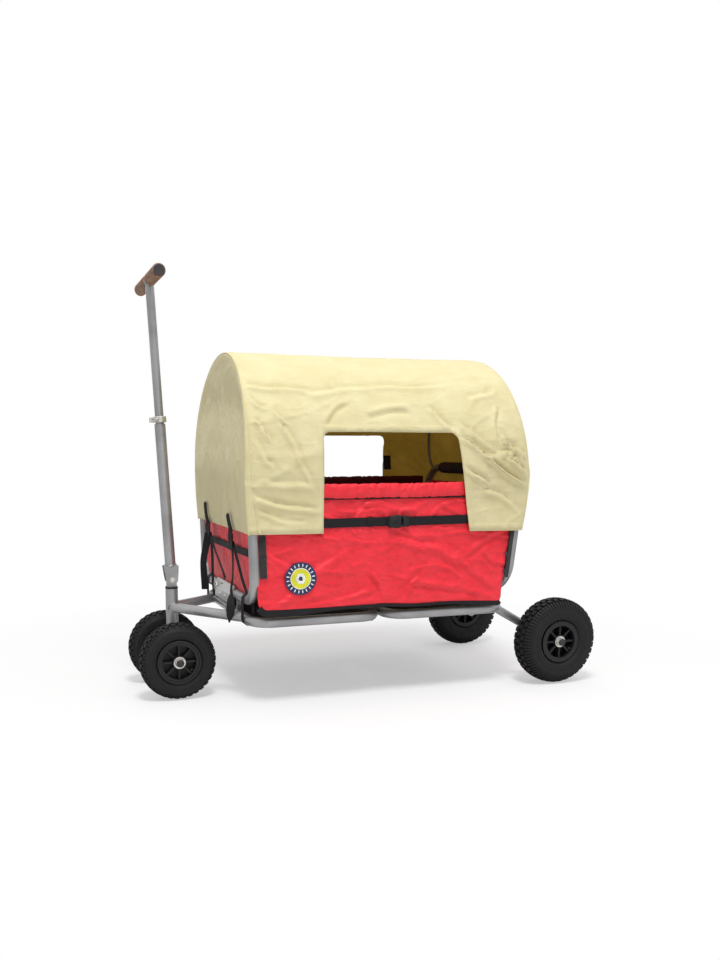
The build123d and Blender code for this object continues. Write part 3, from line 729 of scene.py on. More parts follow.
def stitched(shape, path, out, length=3.2 * mm, gap=2.0 * mm, width=0.8 * mm, paint=0):
    # a row of stitches along a line, standing a little proud of the cloth
    path = evenLine(path, (length + gap) / 2)
    out = np.broadcast_to(np.asarray(out, float), (len(path), 3)) if np.ndim(out) == 1 else out
    for k in range(0, len(path) - 1, 2):
        centre = (path[k] + path[k + 1]) / 2
        ahead = path[k + 1] - path[k]
        shape.add(bead(centre, ahead, out[min(k, len(out) - 1)], length, width), paint)


def bead(centre, along, out, length, width):
    # one stitch: a small long drop with eight sides
    along, out = unit(along), unit(out)
    side = unit(np.cross(along, out))
    ends = [centre - along * length / 2, centre + along * length / 2]
    ring = [side * width / 2, out * width * 0.6, -side * width / 2, -out * width * 0.4]
    points = np.array([*ends, *(centre + step for step in ring)])
    faces = [(0, 2 + (k + 1) % 4, 2 + k) for k in range(4)] + [(1, 2 + k, 2 + (k + 1) % 4) for k in range(4)]
    return points, faces, np.zeros((6, 2))


def weldRing(points, size=2.0 * mm, seed=1):
    # a weld bead round a closed line, with the ripples that a torch leaves
    chance = random.Random(seed)
    path = np.asarray(points, float)
    centre = path.mean(0)
    ripple = [1 + 0.16 * math.sin(k * 1.9) + 0.08 * chance.uniform(-1, 1) for k in range(len(path))]
    return swept(path, roundSection(size, 8), path - centre, scale=ripple, closed=True)


def tubeMeetsTube(start, along, radius, through, axis, axisRadius, count=44):
    # the line where a round tube runs into another round tube
    start, along, through, axis = (np.asarray(v, float) for v in (start, unit(along), through, unit(axis)))
    first = unit(np.cross(along, axis))
    second = np.cross(along, first)
    line = []
    for turn in np.linspace(0, 2 * math.pi, count, endpoint=False):
        at = start + radius * (math.cos(turn) * first + math.sin(turn) * second)
        rise = (at - through) - axis * np.dot(at - through, axis)
        run = along - axis * np.dot(along, axis)
        a, b, c = run @ run, 2 * rise @ run, rise @ rise - axisRadius**2
        root = max(b * b - 4 * a * c, 0)
        line.append(at + along * (-b - math.sqrt(root)) / (2 * a))
    return line


def ride(piece, body, slot, *nodes):
    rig.ride(piece, body)
    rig.slot(piece, slot)
    if nodes:
        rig.replaces(piece, *nodes)
    return piece


folding = {
    "cover": {"anchor": (float(canopyHigh[0]), 0, 0.4), "keep": 0.245},
    "side": {"anchor": (frontHoopX - 3 * mm, 0, 0.4), "keep": 0.13},
}


def foldAway(piece, kind, slot, *nodes):
    # soft goods on the front hoop, which crumple towards it as the wagon folds
    ride(piece, "front_hoop", slot, *nodes)
    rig.squash(piece, "fold", axis=(1, 0, 0), **folding[kind])
    return piece


rearTread = {
    "depth": 6 * mm, "bead": 58 * mm, "square": 0.74,
    "rows": [((82, 98), 38, 0.0, 0.62), ((61, 78), 38, 0.5, 0.66), ((102, 119), 38, 0.5, 0.66)],
    "shoulder": ((12, 57), 76, 0.56), "ridges": [(-4, 0.9 * mm), (-18, 0.7 * mm)],
}
frontTread = {
    "depth": 5.5 * mm, "bead": 58 * mm, "square": 0.80,
    "rows": [((84, 96), 34, 0.0, 0.55), ((58, 80), 34, 0.5, 0.60), ((100, 122), 34, 0.5, 0.60)],
    "shoulder": ((36, 54), 68, 0.52), "ridges": [(14, 1.1 * mm), (-6, 0.8 * mm), (-24, 0.7 * mm)],
}


def tyrePiece(end, side, tread):
    low, high = box(f"tyre_{end}_{side}")
    centre = (low + high) / 2
    outer, half = (high[2] - low[2]) / 2, (high[1] - low[1]) / 2
    middle = (outer - tread["depth"] + tread["bead"]) / 2
    reach = (outer - tread["depth"] - tread["bead"]) / 2

    def carcass(degrees):
        c, s = math.cos(math.radians(degrees)), math.sin(math.radians(degrees))
        return np.array([
            middle + reach * math.copysign(abs(s) ** tread["square"], s),
            half * math.copysign(abs(c) ** 0.82, c),
        ])

    def at(degrees, turn, lift):
        here, ahead = carcass(degrees), carcass(degrees + 1)
        run = unit(ahead - here)
        radius, across = here + lift * np.array([-run[1], run[0]])
        return centre + np.array([radius * math.cos(turn), across, radius * math.sin(turn)])

    def block(span, turns, lifts, taper=0.9):
        degrees = np.linspace(*span, 4)
        middleTurn = sum(turns) / 2
        points, faces = [], []
        for shrink, sunk in ((taper, False), (1.0, True)):
            for k, d in enumerate(degrees):
                inner = sum(span) / 2 + (d - sum(span) / 2) * shrink
                lift = -0.6 * mm if sunk else lifts[0] + (lifts[1] - lifts[0]) * k / 3
                for t in turns:
                    points.append(at(inner, middleTurn + (t - middleTurn) * shrink, lift))
        for k in range(3):
            a = 2 * k
            faces += [(a, a + 1, a + 3, a + 2), (a, a + 2, a + 10, a + 8), (a + 1, a + 9, a + 11, a + 3)]
        faces += [(0, 8, 9, 1), (6, 7, 15, 14)]
        return np.array(points), faces, np.zeros((16, 2))

    tyre = Shape()
    section = [carcass(d) for d in np.linspace(0, 360, 44, endpoint=False)]
    tyre.add(turned(section, centre, (0, 1, 0), 120, closed=True))
    for span, count, shift, share in tread["rows"]:
        step = 2 * math.pi / count
        for k in range(count):
            turn = (k + shift) * step
            tyre.add(block(span, (turn, turn + share * step), (tread["depth"],) * 2))
    span, count, share = tread["shoulder"]
    step = 2 * math.pi / count
    low, high = span
    for ends, lifts in ((span, (0.9 * mm, 4.4 * mm)), ((180 - high, 180 - low), (4.4 * mm, 0.9 * mm))):
        for k in range(count):
            tyre.add(block(ends, (k * step, (k + share) * step), lifts, 0.94))
    for degrees, size in tread["ridges"]:
        for d in (degrees, 180 - degrees):
            ring = carcass(d) + roundSection(size, 8)
            tyre.add(turned(ring, centre, (0, 1, 0), 96, closed=True))
    piece = tyre.build(f"tyre{end.title()}{side.title()}", [tyreRubber], 36)
    ride(piece, f"wheel_{end}_{side}", "tyre_rubber", f"tyre_{end}_{side}")
    return centre


# turned outlines are (radius, height) in mm
hub = {
    "shieldAt": 30 * mm,
    "shield": [(7.0, -0.6), (17.0, -0.6), (17.4, 0.2), (16.9, 1.2), (15.4, 1.5), (12.4, 0.7), (7.0, 0.4)],
    # the valve stem: where it points, then how far out from the axle and from the middle it starts and aims
    "stemTurn": 214, "stemFoot": (47 * mm, 12 * mm), "stemAim": (40 * mm, 31 * mm), "stemLong": 13 * mm,
    "stem": [(0, 0), (5.2, 0), (4.6, 3), (3.4, 6), (3.1, 13), (0, 13)],
    "stemCap": [(0, 0), (3.8, 0), (3.8, 6.4), (2.6, 7.6), (0, 7.6)],
    "lip": [(57.5, -0.8), (61.2, -1.4), (62.8, -0.4), (63.0, 0.8), (61.6, 1.8), (58.6, 1.5), (57.6, 1.0)],
    "cap": [(0, 4.6), (6.2, 4.3), (9.4, 3.0), (10.8, 1.0), (11.0, -0.6), (0, -0.6)],
}


def hubPieces(end, side, centre, carrier):
    out = 1 if centre[1] > 0 else -1
    word, wheel = f"{end.title()}{side.title()}", f"wheel_{end}_{side}"
    low, high = box(f"rim_{end}_{side}")
    shield, lip, stem, cap = Shape(), Shape(), Shape(), Shape()
    for way in (-1, 1):
        face = centre + np.array([0, way * hub["shieldAt"], 0])
        shield.add(lathe(hub["shield"], face, (0, way, 0), 48, closed=True))
        face = (low + high) / 2 + np.array([0, way * ((high[1] - low[1]) / 2 - 1.2 * mm), 0])
        lip.add(lathe(hub["lip"], face, (0, way, 0), 96, closed=True))
    lean = math.radians(hub["stemTurn"])
    spoke = np.array([math.cos(lean), 0, math.sin(lean)])
    foot, aim = (centre + spoke * r + np.array([0, out * y, 0]) for r, y in (hub["stemFoot"], hub["stemAim"]))
    stem.add(lathe(hub["stem"], foot, aim - foot, 20))
    stem.add(lathe(hub["stemCap"], foot + unit(aim - foot) * hub["stemLong"], aim - foot, 20))
    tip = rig.box(f"{end}_axle_nuts")[1 if out > 0 else 0][1]
    cap.add(lathe(hub["cap"], (centre[0], tip, centre[2]), (0, out, 0), 32))
    ride(shield.build(f"hubShield{word}", [zinc]), wheel, "zinc_steel")
    ride(stem.build(f"valveStem{word}", [tyreRubber]), wheel, "tyre_rubber")
    ride(lip.build(f"rimLip{word}", [blackPlastic]), wheel, "black_plastic")
    ride(cap.build(f"axleCap{word}", [darkPlug]), carrier, "black_plastic")


for end, tread, carrier in (("front", frontTread, "steering"), ("rear", rearTread, "base_rear")):
    for side in ("left", "right"):
        hubPieces(end, side, tyrePiece(end, side, tread), carrier)
stage("wheels")


canopy = {
    "cloth": 1.3 * mm, "corner": 10 * mm, "hem": 17 * mm, "hemProud": 0.9 * mm, "cell": 5.7 * mm,
    "windowTop": 750 * mm, "windowFront": 200 * mm, "windowRound": 20 * mm,
    "windowRearLeft": (-246 * mm, -201 * mm), "windowRearRight": (-250 * mm, -250 * mm),
    "sag": 2.5 * mm, "flare": 3 * mm, "hemSlope": (3 * mm, -9 * mm, 130 * mm),
    "piping": 1.5 * mm, "belly": 7 * mm,
    # the bellied ends: where they are fullest, how far they spread from there, how far they draw in
    "fullest": -38 * mm, "spread": (160 * mm, 345 * mm),
    "frontDraw": (8 * mm, 19 * mm), "rearDraw": (17 * mm, 42 * mm), "rearInset": 7 * mm,
    # a hook-and-loop tape inside the far window
    "tape": {"up": 179 * mm, "half": 24 * mm, "back": 15 * mm, "width": 28 * mm},
    # random swells (along, up, height) and thin ridges (along, up, height, thinness)
    "swells": [(0.14, 0.09, 3.0 * mm), (0.06, 0.04, 0.7 * mm)],
    "ridges": [(0.26, 0.11, 3.4 * mm, 17), (0.13, 0.07, 1.9 * mm, 14), (0.06, 0.045, 0.6 * mm, 8)],
    "panelBelly": 5 * mm, "panelSway": (655 * mm, 833 * mm),
    "panelSwells": [(0.09, 0.12, 5 * mm), (0.03, 0.05, 1.2 * mm)],
    # creases of the left side: from and to (mm ahead of the middle, mm up the cloth), depth, width
    "creases": [
        (395, 418, 225, 398, 3.2, 17), (225, 398, 40, 416, 2.6, 20), (40, 416, -180, 434, 2.2, 18),
        (392, 366, 350, 336, 3.0, 9), (386, 300, 336, 250, 3.6, 9), (310, 296, 255, 180, 3.4, 11),
        (330, 345, 300, 292, 2.4, 10), (392, 250, 345, 190, 2.2, 12), (392, 104, 226, 64, 2.4, 14),
        (252, 182, 208, 62, 2.0, 11), (380, 60, 250, 30, 1.6, 12), (360, 150, 240, 132, 1.8, 16),
        (-205, 262, -415, 134, 5.0, 10), (-225, 300, -415, 160, 3.2, 9), (-330, 276, -425, 208, 4.4, 9),
        (-340, 232, -418, 172, 3.4, 8), (-345, 350, -332, 250, 3.0, 13), (-230, 180, -300, 128, 3.2, 11),
        (-130, 344, -200, 280, 3.0, 14), (-260, 380, -350, 420, 2.2, 18), (-290, 120, -400, 70, 2.0, 13),
        (-60, 330, 60, 318, 2.4, 18), (120, 350, 190, 296, 2.4, 13), (-275, 210, -400, 232, 2.4, 12),
    ],
    # soft folds of the end panels: across, height from, height to, depth, width, all in mm
    "panelFolds": [
        (-190, 500, 660, 3.5, 26), (-95, 540, 760, 2.5, 30), (10, 500, 700, 3.0, 34),
        (105, 520, 800, 2.6, 30), (205, 500, 690, 4.0, 24), (262, 560, 680, 3.0, 15),
    ],
}
archRadius = canopyHigh[1]
archCentre = canopyHigh[2] - archRadius
hemHeight = canopyLow[2]
skirt = archCentre - hemHeight
girth = 2 * skirt + math.pi * archRadius
windowTurn = math.asin((canopy["windowTop"] - archCentre) / archRadius)
windowRise = skirt + archRadius * windowTurn


def offBelly(z):
    # how far below and above the fullest height of the end panels z is, as shares
    belly = archCentre + canopy["fullest"]
    below, above = canopy["spread"]
    return np.clip((belly - z) / below, 0, 2), np.clip((z - belly) / above, 0, 2)


def frontFace(z):
    (below, above), (low, high) = offBelly(z), canopy["frontDraw"]
    return canopyHigh[0] - low * below**2 - high * above**1.6


def rearFace(z):
    (below, above), (low, high) = offBelly(z), canopy["rearDraw"]
    return canopyLow[0] + canopy["rearInset"] + low * below**2 + high * above**0.8


def archAt(s, inset=0.0):
    # the point s up the cloth from the left hem, and the way out of the cloth there
    s = np.asarray(s, float)
    turn = np.clip((s - skirt) / archRadius, 0, math.pi)
    down = np.where(s < skirt, s - skirt, np.where(s > girth - skirt, girth - skirt - s, 0.0))
    radius = archRadius - inset
    y, z = radius * np.cos(turn), archCentre + radius * np.sin(turn) + down
    return y, z, np.cos(turn), np.sin(turn)


def windowRear(s):
    turnedOver = ease((s - windowRise) / (girth - 2 * windowRise))
    low, top = canopy["windowRearLeft"]
    left = low + (top - low) * np.clip((archAt(s)[1] - hemHeight) / (canopy["windowTop"] - hemHeight), 0, 1)
    return middleX + left * (1 - turnedOver) + canopy["windowRearRight"][0] * turnedOver


def creaseDepth(x, s, creases):
    # a valley with a low ridge beside it along each crease, fading at both ends
    depth = np.zeros_like(x)
    for x1, s1, x2, s2, deep, wide in creases:
        a, b = np.array([x1, s1]) * mm, np.array([x2, s2]) * mm
        run = b - a
        long = np.linalg.norm(run)
        along = ((x - middleX - a[0]) * run[0] + (s - a[1]) * run[1]) / long**2
        off = ((x - middleX - a[0]) * -run[1] + (s - a[1]) * run[0]) / long
        off = (off + 5 * mm * np.sin(along * 5 + deep * 9)) / (wide * mm * 0.44)
        fade = ease(along / 0.22 + 0.5) * ease((1 - along) / 0.3 + 0.5)
        depth += 3.1 * deep * mm * fade * (
            np.exp(-np.abs(off) ** 1.3) * -0.9 + 0.8 * np.exp(-((off - 1.8) ** 2) * 0.6)
        )
    return depth


def ripples(x, s, shift, sizes):
    # broad random swells: sizes are (metres along, metres up, height)
    def swell(u, v):
        return sum(h * noise.noise(Vector((u / a + shift, v / b, 3.1 * shift))) for a, b, h in sizes)

    return np.array([swell(u, v) for u, v in zip(np.ravel(x), np.ravel(s))]).reshape(np.shape(x))


def crumple(x, s, shift, sizes):
    # thin ridges that wander over the cloth: sizes are (metres along, metres up, height, thinness)
    def ridge(u, v):
        rise = 0
        for a, b, h, thin in sizes:
            off = abs(noise.noise(Vector((u / a + shift, v / b, 7.7 * shift))))
            rise += h * max(0.0, 1 - thin * off) ** 1.5
        return rise

    return np.array([ridge(u, v) for u, v in zip(np.ravel(x), np.ravel(s))]).reshape(np.shape(x))


def mirroredCreases():
    chance = random.Random(11)
    return [
        (x1 + chance.uniform(-30, 30), s1 + chance.uniform(-25, 25), x2 + chance.uniform(-30, 30),
         s2 + chance.uniform(-25, 25), deep * chance.uniform(0.7, 1.1), wide)
        for x1, s1, x2, s2, deep, wide in canopy["creases"]
    ]


farCreases = mirroredCreases()


def canopyRelief(x, s):
    # how far the cloth stands off the plain arch
    left, right = s, girth - s
    near = np.minimum(left, right)
    length = frontFace(archCentre) - rearFace(archCentre)
    t = np.clip((x - rearFace(archCentre)) / length, 0, 1)
    top = ease((near - windowRise) / (girth / 2 - windowRise))
    d = -canopy["sag"] * np.sin(math.pi * t) ** 2 * top
    leftDepth, rightDepth = creaseDepth(x, left, canopy["creases"]), creaseDepth(x, right, farCreases)
    d += np.where(left < girth / 2, leftDepth, rightDepth)
    d += ripples(x, s, 4.0, canopy["swells"]) * (1 - 0.62 * top)
    d += crumple(x, s + 0.25 * x, 5.0, canopy["ridges"]) * (1 - 0.8 * top)
    d += canopy["flare"] * ease(1 - near / (70 * mm)) + canopy["belly"] * hump(near, 165 * mm, 70 * mm)
    nearHoop = np.minimum(np.abs(x - frontHoopAt(hoopTop)), np.abs(x - rearHoopAt(hoopTop)))
    lowest = np.where(near < 200 * mm, np.where(nearHoop < 45 * mm, -2.4 * mm, -4.2 * mm), -13 * mm)
    d = np.maximum(d, lowest) + 0.25 * np.minimum(d - lowest, 0)
    ends = np.minimum(x - rearFace(archAt(s)[1]), frontFace(archAt(s)[1]) - x)
    beside = np.minimum(np.abs(x - windowRear(s)), np.abs(x - middleX - canopy["windowFront"]))
    flat = ease((windowRise + 30 * mm - near) / (30 * mm)) * (1 - ease(beside / (32 * mm)))
    return d * ease((ends - 4 * mm) / (26 * mm)) * (1 - 0.75 * flat)


def hemLift(x, s):
    hem, proud = canopy["hem"], canopy["hemProud"]
    near = np.minimum(s, girth - s)
    rear, front = windowRear(s), middleX + canopy["windowFront"]
    outside = np.maximum(rear - x, x - front)
    spare = 0.5 * mm
    belowTop = near < windowRise + hem + spare
    isHem = (near < hem + spare) & (outside > -1e-6)
    isHem |= (np.abs(outside - hem / 2) < hem / 2 + spare) & belowTop
    isHem |= (near > windowRise - spare) & belowTop & (outside < hem + spare)
    return np.where(isHem, proud, 0.0)


def hemSlope(points):
    # the hem hangs a little lower at the rear than at the front
    front, rear, reach = canopy["hemSlope"]
    share = np.clip((points[..., 0] - canopyLow[0]) / (canopyHigh[0] - canopyLow[0]), 0, 1)
    near = ease((hemHeight + reach - points[..., 2]) / reach)
    points[..., 2] += (rear + (front - rear) * share) * near
    return points


def canopySkin(x, s, lift=0.0):
    x, s = np.asarray(x, float), np.asarray(s, float)
    y, z, ny, nz = archAt(s)
    off = canopyRelief(x, s) + hemLift(x, s) + lift
    return hemSlope(stack(x, y + ny * off, z + nz * off)), stack(0 * x, ny, nz)


def roundedCorner(x, s, cornerX, cornerS, wayX, wayS):
    # pulls the square corner of a window into an arc; the cloth around it follows
    radius = canopy["windowRound"]
    a, b = (x - cornerX) * wayX, (s - cornerS) * wayS
    away = np.maximum(np.maximum(-a, -b), 0)
    slide = np.clip((np.maximum(b, 0) - np.maximum(a, 0)) / radius, -1, 1)
    turn = math.pi / 4 * (1 + slide)
    arcA, arcB = radius * (1 - np.sin(turn)), radius * (1 - np.cos(turn))
    squareA, squareB = np.maximum(-slide, 0) * radius, np.maximum(slide, 0) * radius
    onside = (np.maximum(a, 0) <= radius) & (np.maximum(b, 0) <= radius) & ((a <= 1e-6) | (b <= 1e-6))
    share = np.where(onside, ease(1 - away / (2.2 * radius)), 0)
    return x + wayX * share * (arcA - squareA), s + wayS * share * (arcB - squareB)


def canopyRows():
    hem, cell = canopy["hem"], canopy["cell"]
    low = [0, hem, hem + 2 * mm, *np.linspace(hem + 2 * mm, skirt, int((skirt - hem) / cell))[1:]]
    edge = [skirt + archRadius * t for t in np.linspace(0, windowTurn, 9)[1:]]
    top = windowRise + hem
    crown = np.linspace(top + 2 * mm, girth / 2, int((girth / 2 - top) / cell))
    left = [*low, *edge, top, *crown]
    return np.array([*left, *(girth - s for s in reversed(left[:-1]))]), len(low) - 1


def canopyPanel(face, way, rows, lowCount):
    # an end panel: a net of upright and level lines whose corners lie on the arch
    inset = canopy["corner"]
    half = len(rows) // 2
    ys, zs = archAt(rows[lowCount:len(rows) - lowCount], inset)[:2]
    across = len(ys)
    levels = [*(archAt(s)[1] for s in rows[:lowCount]), *zs[:half - lowCount + 1]]
    ids, points, uv, faces = {}, [], [], []

    def point(i, k):
        # i counts the upright lines from the left, k the level lines from the hem
        if (i, k) not in ids:
            y, z = ys[i], levels[k]
            rim = (archRadius - inset) - math.hypot(y, max(z - archCentre, 0))
            rim = min(rim, archRadius - inset - abs(y))
            fade = float(ease(rim / (45 * mm)))
            bow = math.sin(math.pi * (z - hemHeight) / (canopyHigh[2] - hemHeight))
            off = canopy["panelBelly"] * fade * bow
            for at, low, high, deep, wide in canopy["panelFolds"]:
                upright = ease((z / mm - low) / 60 + 0.5) * ease((high - z / mm) / 90 + 0.5)
                off -= fade * deep * mm * upright * math.exp(-(((y * way / mm - at) / wide) ** 2))
            off += fade * float(ripples(np.array([y]), np.array([z]), 9.0 + way, canopy["panelSwells"])[0])
            off = max(off, -1.5 * mm if z < 700 * mm else -6 * mm)
            # stands out over the hem and lies back where the turned grips come past
            low, high = canopy["panelSway"]
            out = fade * 8 * mm * float(hump(z, low, 60 * mm) - hump(z, high, 60 * mm))
            off = min(off - 3 * mm * fade, 0.8 * mm) + out
            ids[i, k] = len(points)
            points.append((float(face(z)) + way * off, y, z))
            uv.append((y, z))
        return ids[i, k]

    for i in range(across - 1):
        outer = min(i, across - 2 - i)
        for k in range(len(levels) - 1):
            corners = [(i, k), (i + 1, k), (i + 1, k + 1), (i, k + 1)]
            if k - lowCount == outer < across // 2:
                # under the arch only a triangle fits
                del corners[3 if i < across // 2 else 2]
            elif k - lowCount >= outer:
                continue
            faces.append(tuple(point(*corner) for corner in corners))
    return np.array(points), faces, np.array(uv)


def canopyPiece():
    corner, hem = canopy["corner"], canopy["hem"]
    rows, lowCount = canopyRows()
    insetZ = archAt(rows, corner)[1]
    rear, front = rearFace(insetZ) + corner, frontFace(insetZ) - corner
    windowBack, windowFore = windowRear(rows), 0 * rows + middleX + canopy["windowFront"]
    turns = np.linspace(0, math.pi / 2, 5)
    columns, drop = [], []

    def addColumn(x, sunk=0.0):
        columns.append(x)
        drop.append(sunk)

    for t in turns[::-1]:
        addColumn(rear - corner * math.sin(t), corner * (1 - math.cos(t)))
    spans = [
        (rear, windowBack - hem - 2 * mm, 36),
        (windowBack - hem, windowBack, 3), (windowBack, windowFore, 72),
        (windowFore, windowFore + hem, 3), (windowFore + hem + 2 * mm, front, 34),
    ]
    for k, (a, b, count) in enumerate(spans):
        if k == 2:
            openFrom = len(columns) - 1
        # these spans start where the one before ends
        start = 1 if k in (0, 2, 3) else 0
        for t in np.linspace(0, 1, count)[start:]:
            addColumn(a + (b - a) * t)
        if k == 2:
            openTo = len(columns) - 1
    for t in turns[1:]:
        addColumn(front + corner * math.sin(t), corner * (1 - math.cos(t)))
    x = np.stack(columns, axis=1)
    s = np.broadcast_to(rows[:, None], x.shape).copy()
    plain = x.copy(), s.copy()
    for cornerS, wayS in ((windowRise, -1), (girth - windowRise, 1)):
        backX = float(windowRear(cornerS))
        x, s = roundedCorner(x, s, backX, cornerS, 1, wayS)
        x, s = roundedCorner(x, s, middleX + canopy["windowFront"], cornerS, -1, wayS)
    y, z, ny, nz = archAt(s)
    off = canopyRelief(*plain) + hemLift(*plain) - np.array(drop)[None, :]
    off[:, [0, -1]] = -corner
    points = stack(x, y + ny * off, z + nz * off)
    topRow = int(np.argmin(np.abs(rows - windowRise)))

    def isCloth(i, k):
        inWindow = i < topRow or i >= len(rows) - 1 - topRow
        return not (inWindow and openFrom <= k < openTo)

    cover = Shape()
    cover.add((hemSlope(points), quads(*x.shape, keep=isCloth), stack(x, s)))
    for face, way in ((frontFace, 1), (rearFace, -1)):
        points, faces, uv = canopyPanel(face, way, rows, lowCount)
        cover.add((hemSlope(points), [f[::-way] for f in faces], uv))
    piece = cover.build("canopyCover", [canvasOutside, canvasInside], 180)
    welded(piece)
    thickened(piece, canopy["cloth"])
    return piece


def hemRuns(flip):
    # the stitched lines round one window and along the hems beside it: how far along, how far up
    hem = canopy["hem"] - 2.5 * mm
    fore = middleX + canopy["windowFront"]
    t = np.linspace(0, 1, 80)
    back, front = windowRear(windowRise), frontFace(hemHeight) - 12 * mm
    rear = rearFace(hemHeight) + 12 * mm
    slanted = windowRear(hem + t * windowRise) - hem
    if flip:
        slanted = 0 * t + middleX + canopy["windowRearRight"][0] - hem
    return [
        (back - hem + t * (fore - back + 2 * hem), 0 * t + windowRise + hem),
        (0 * t + fore + hem, hem + t * windowRise),
        (slanted, hem + t * windowRise),
        (fore + hem + t * (front - fore - hem), 0 * t + hem),
        (rear + t * (windowRear(0.0) - hem - rear), 0 * t + hem),
    ]


def canopySeams():
    # piped edges, felled seams, hem stitching and the tape inside the far window
    seam, sewn = Shape(), Shape()
    corner = canopy["corner"]
    half = math.sqrt(0.5)
    insetZ = archAt(np.linspace(0, girth, 260), corner)[1]
    for face, way in ((frontFace, 1), (rearFace, -1)):
        y, z, ny, nz = archAt(np.linspace(0, girth, 260), corner * (1 - half))
        x = face(insetZ) - way * corner * (1 - half)
        out = stack(way, ny, nz)
        line = stack(x, y, z) + out * 0.2 * mm
        seam.add(swept(line, roundSection(canopy["piping"], 8), out))
    for flip in (False, True):
        side = np.linspace(1 * mm, 350 * mm, 90)
        back = 23 * mm * (1 - side / (352 * mm)) ** 1.3 + 8 * mm
        at = girth - side if flip else side
        line, out = canopySkin(frontFace(archAt(side)[1]) - back, at, 0.3 * mm)
        seam.add(swept(line, flatSection(6 * mm, 1.4 * mm, 0.5), out))
        for shift in (-1.9, 1.9):
            row, out = canopySkin(frontFace(archAt(side)[1]) - back + shift * mm, at, 1.3 * mm)
            stitched(sewn, row, out)
        for x, up in hemRuns(flip):
            row, out = canopySkin(x, girth - up if flip else up, 0.25 * mm)
            stitched(sewn, row, out)
    tape = canopy["tape"]
    place = middleX + canopy["windowRearRight"][0] - tape["back"]
    ups = np.linspace(tape["up"] - tape["half"], tape["up"] + tape["half"], 9)
    line, out = canopySkin(np.full(9, place), girth - ups, -4.6 * mm)
    tapes = Shape().add(ribbon(line, tape["width"], 1.6 * mm, out))
    return (
        seam.build("canopySeams", [canvasOutside], 50), sewn.build("canopyStitches", [thread]),
        tapes.build("windowTapes", [fuzz]),
    )


cover = canopyPiece()
coverTrim = canopySeams()
foldAway(cover, "cover", "cream_canvas", "canopy")
for piece, slot in zip(coverTrim, ("cream_canvas", "cream_canvas", "black_webbing")):
    foldAway(piece, "cover", slot)
canopyDepth = frontFace(archCentre) - rearFace(archCentre)
endArea = 2 * archRadius * skirt + math.pi * archRadius**2 / 2
windowArea = windowRise * (
    2 * canopy["windowFront"] - sum(canopy["windowRearLeft"]) / 2 - canopy["windowRearRight"][0]
)
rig.sheet(
    cover, flat=(girth, canopyDepth + 2 * (archRadius + skirt)), held="stretched",
    rests_on=["bow_front", "bow_rear"], area=girth * canopyDepth + 2 * endArea - windowArea,
    with_pieces=list(coverTrim),
)
stage("canopy")


basket = {
    "out": 290 * mm, "cloth": 1.6 * mm, "cell": 4.2 * mm, "pillow": 2.4 * mm,
    "frontRound": 26 * mm, "rearRound": 12 * mm, "relief": (-3 * mm, 7.5 * mm),
    "foot": {"up": 11 * mm, "rearDrop": 13 * mm, "wave": 2.5 * mm, "waves": 16, "middle": 3 * mm},
    "rimCentre": 289 * mm, "rimThick": 4.6 * mm, "rimSwell": 3.6 * mm, "rimTall": 21 * mm,
    "swells": [(0.10, 0.07, 2.4 * mm), (0.040, 0.032, 1.3 * mm), (0.018, 0.013, 0.5 * mm)],
    "ridges": [(0.20, 0.075, 4.2 * mm, 10), (0.085, 0.05, 2.7 * mm, 9), (0.035, 0.03, 1.2 * mm, 6)],
    # rear and front tape: height from, height to, ahead of the edge, width, and its stitches ahead of it
    "cornerTapes": [
        (334 * mm, 560 * mm, -5.5 * mm, 13 * mm, 14 * mm), (363 * mm, 480 * mm, -19 * mm, 20 * mm, -14 * mm),
    ],
    # creases: from and to (mm ahead of the middle, mm above the ground), depth, width
    "creases": [
        (-330, 300, -120, 420, 3.0, 20), (-300, 275, -60, 330, 2.4, 14), (340, 300, 150, 430, 2.6, 22),
        (250, 275, 60, 330, 2.2, 14), (20, 285, 60, 360, 3.0, 12), (-40, 285, -80, 350, 2.6, 12),
        (355, 440, 250, 360, 2.0, 14), (-370, 470, -250, 400, 2.4, 16), (-370, 360, -290, 400, 2.0, 12),
        (110, 530, 60, 570, 2.6, 10), (150, 550, 20, 540, 1.8, 9), (-120, 525, -180, 568, 2.0, 10),
        (300, 520, 200, 470, 1.8, 15), (-20, 470, -160, 440, 1.6, 18), (180, 300, 120, 275, 2.4, 10),
        (-180, 300, -210, 275, 2.2, 10),
    ],
}
badge = {
    "place": (middleX + 262 * mm, 359 * mm), "radius": 45 * mm, "flat": 62 * mm,
    "dashes": 20, "dashRing": 0.81,
    # rings of the patch: inner and outer radius in mm, paint, lift in mm, flat sides
    "rings": [
        (0.5, 45, 0, 1.0, 0), (42.8, 45, 0, 1.5, 0), (27, 29.25, 1, 1.35, 0),
        (0.5, 27, 2, 1.3, 0), (0.5, 15.3, 1, 1.7, 6), (0.5, 5.85, 0, 2.0, 0),
    ],
}
rimLow = 575 * mm
strapHeight = (strapLow[2] + strapHigh[2]) / 2


def panelEnds(z):
    return rearHoopAt(z) + slimRadius + 7 * mm, frontHoopAt(z) - 3.5 * mm


def footHeight(x):
    # the lower edge of a side: cut up at both corners and a little slack between them
    s = basket["foot"]
    low = panelLow[2] + s["up"] - s["rearDrop"] * ease((middleX - 0.15 - x) / 0.2)
    low = low + s["wave"] * np.sin((x - middleX) * s["waves"]) + s["middle"] * hump(x, middleX, 50 * mm)
    rear, front = panelEnds(low)
    for edge, way, radius in ((rear, 1, basket["rearRound"]), (front, -1, basket["frontRound"])):
        near = np.clip(radius - (x - edge) * way, 0, radius)
        low = low + radius - np.sqrt(np.maximum(radius**2 - near**2, 0))
    return low


def panelFoot(x, z):
    share = np.clip((rimLow - z) / (rimLow - panelLow[2]), 0, 1)
    return z + (footHeight(x) - panelLow[2]) * share**3


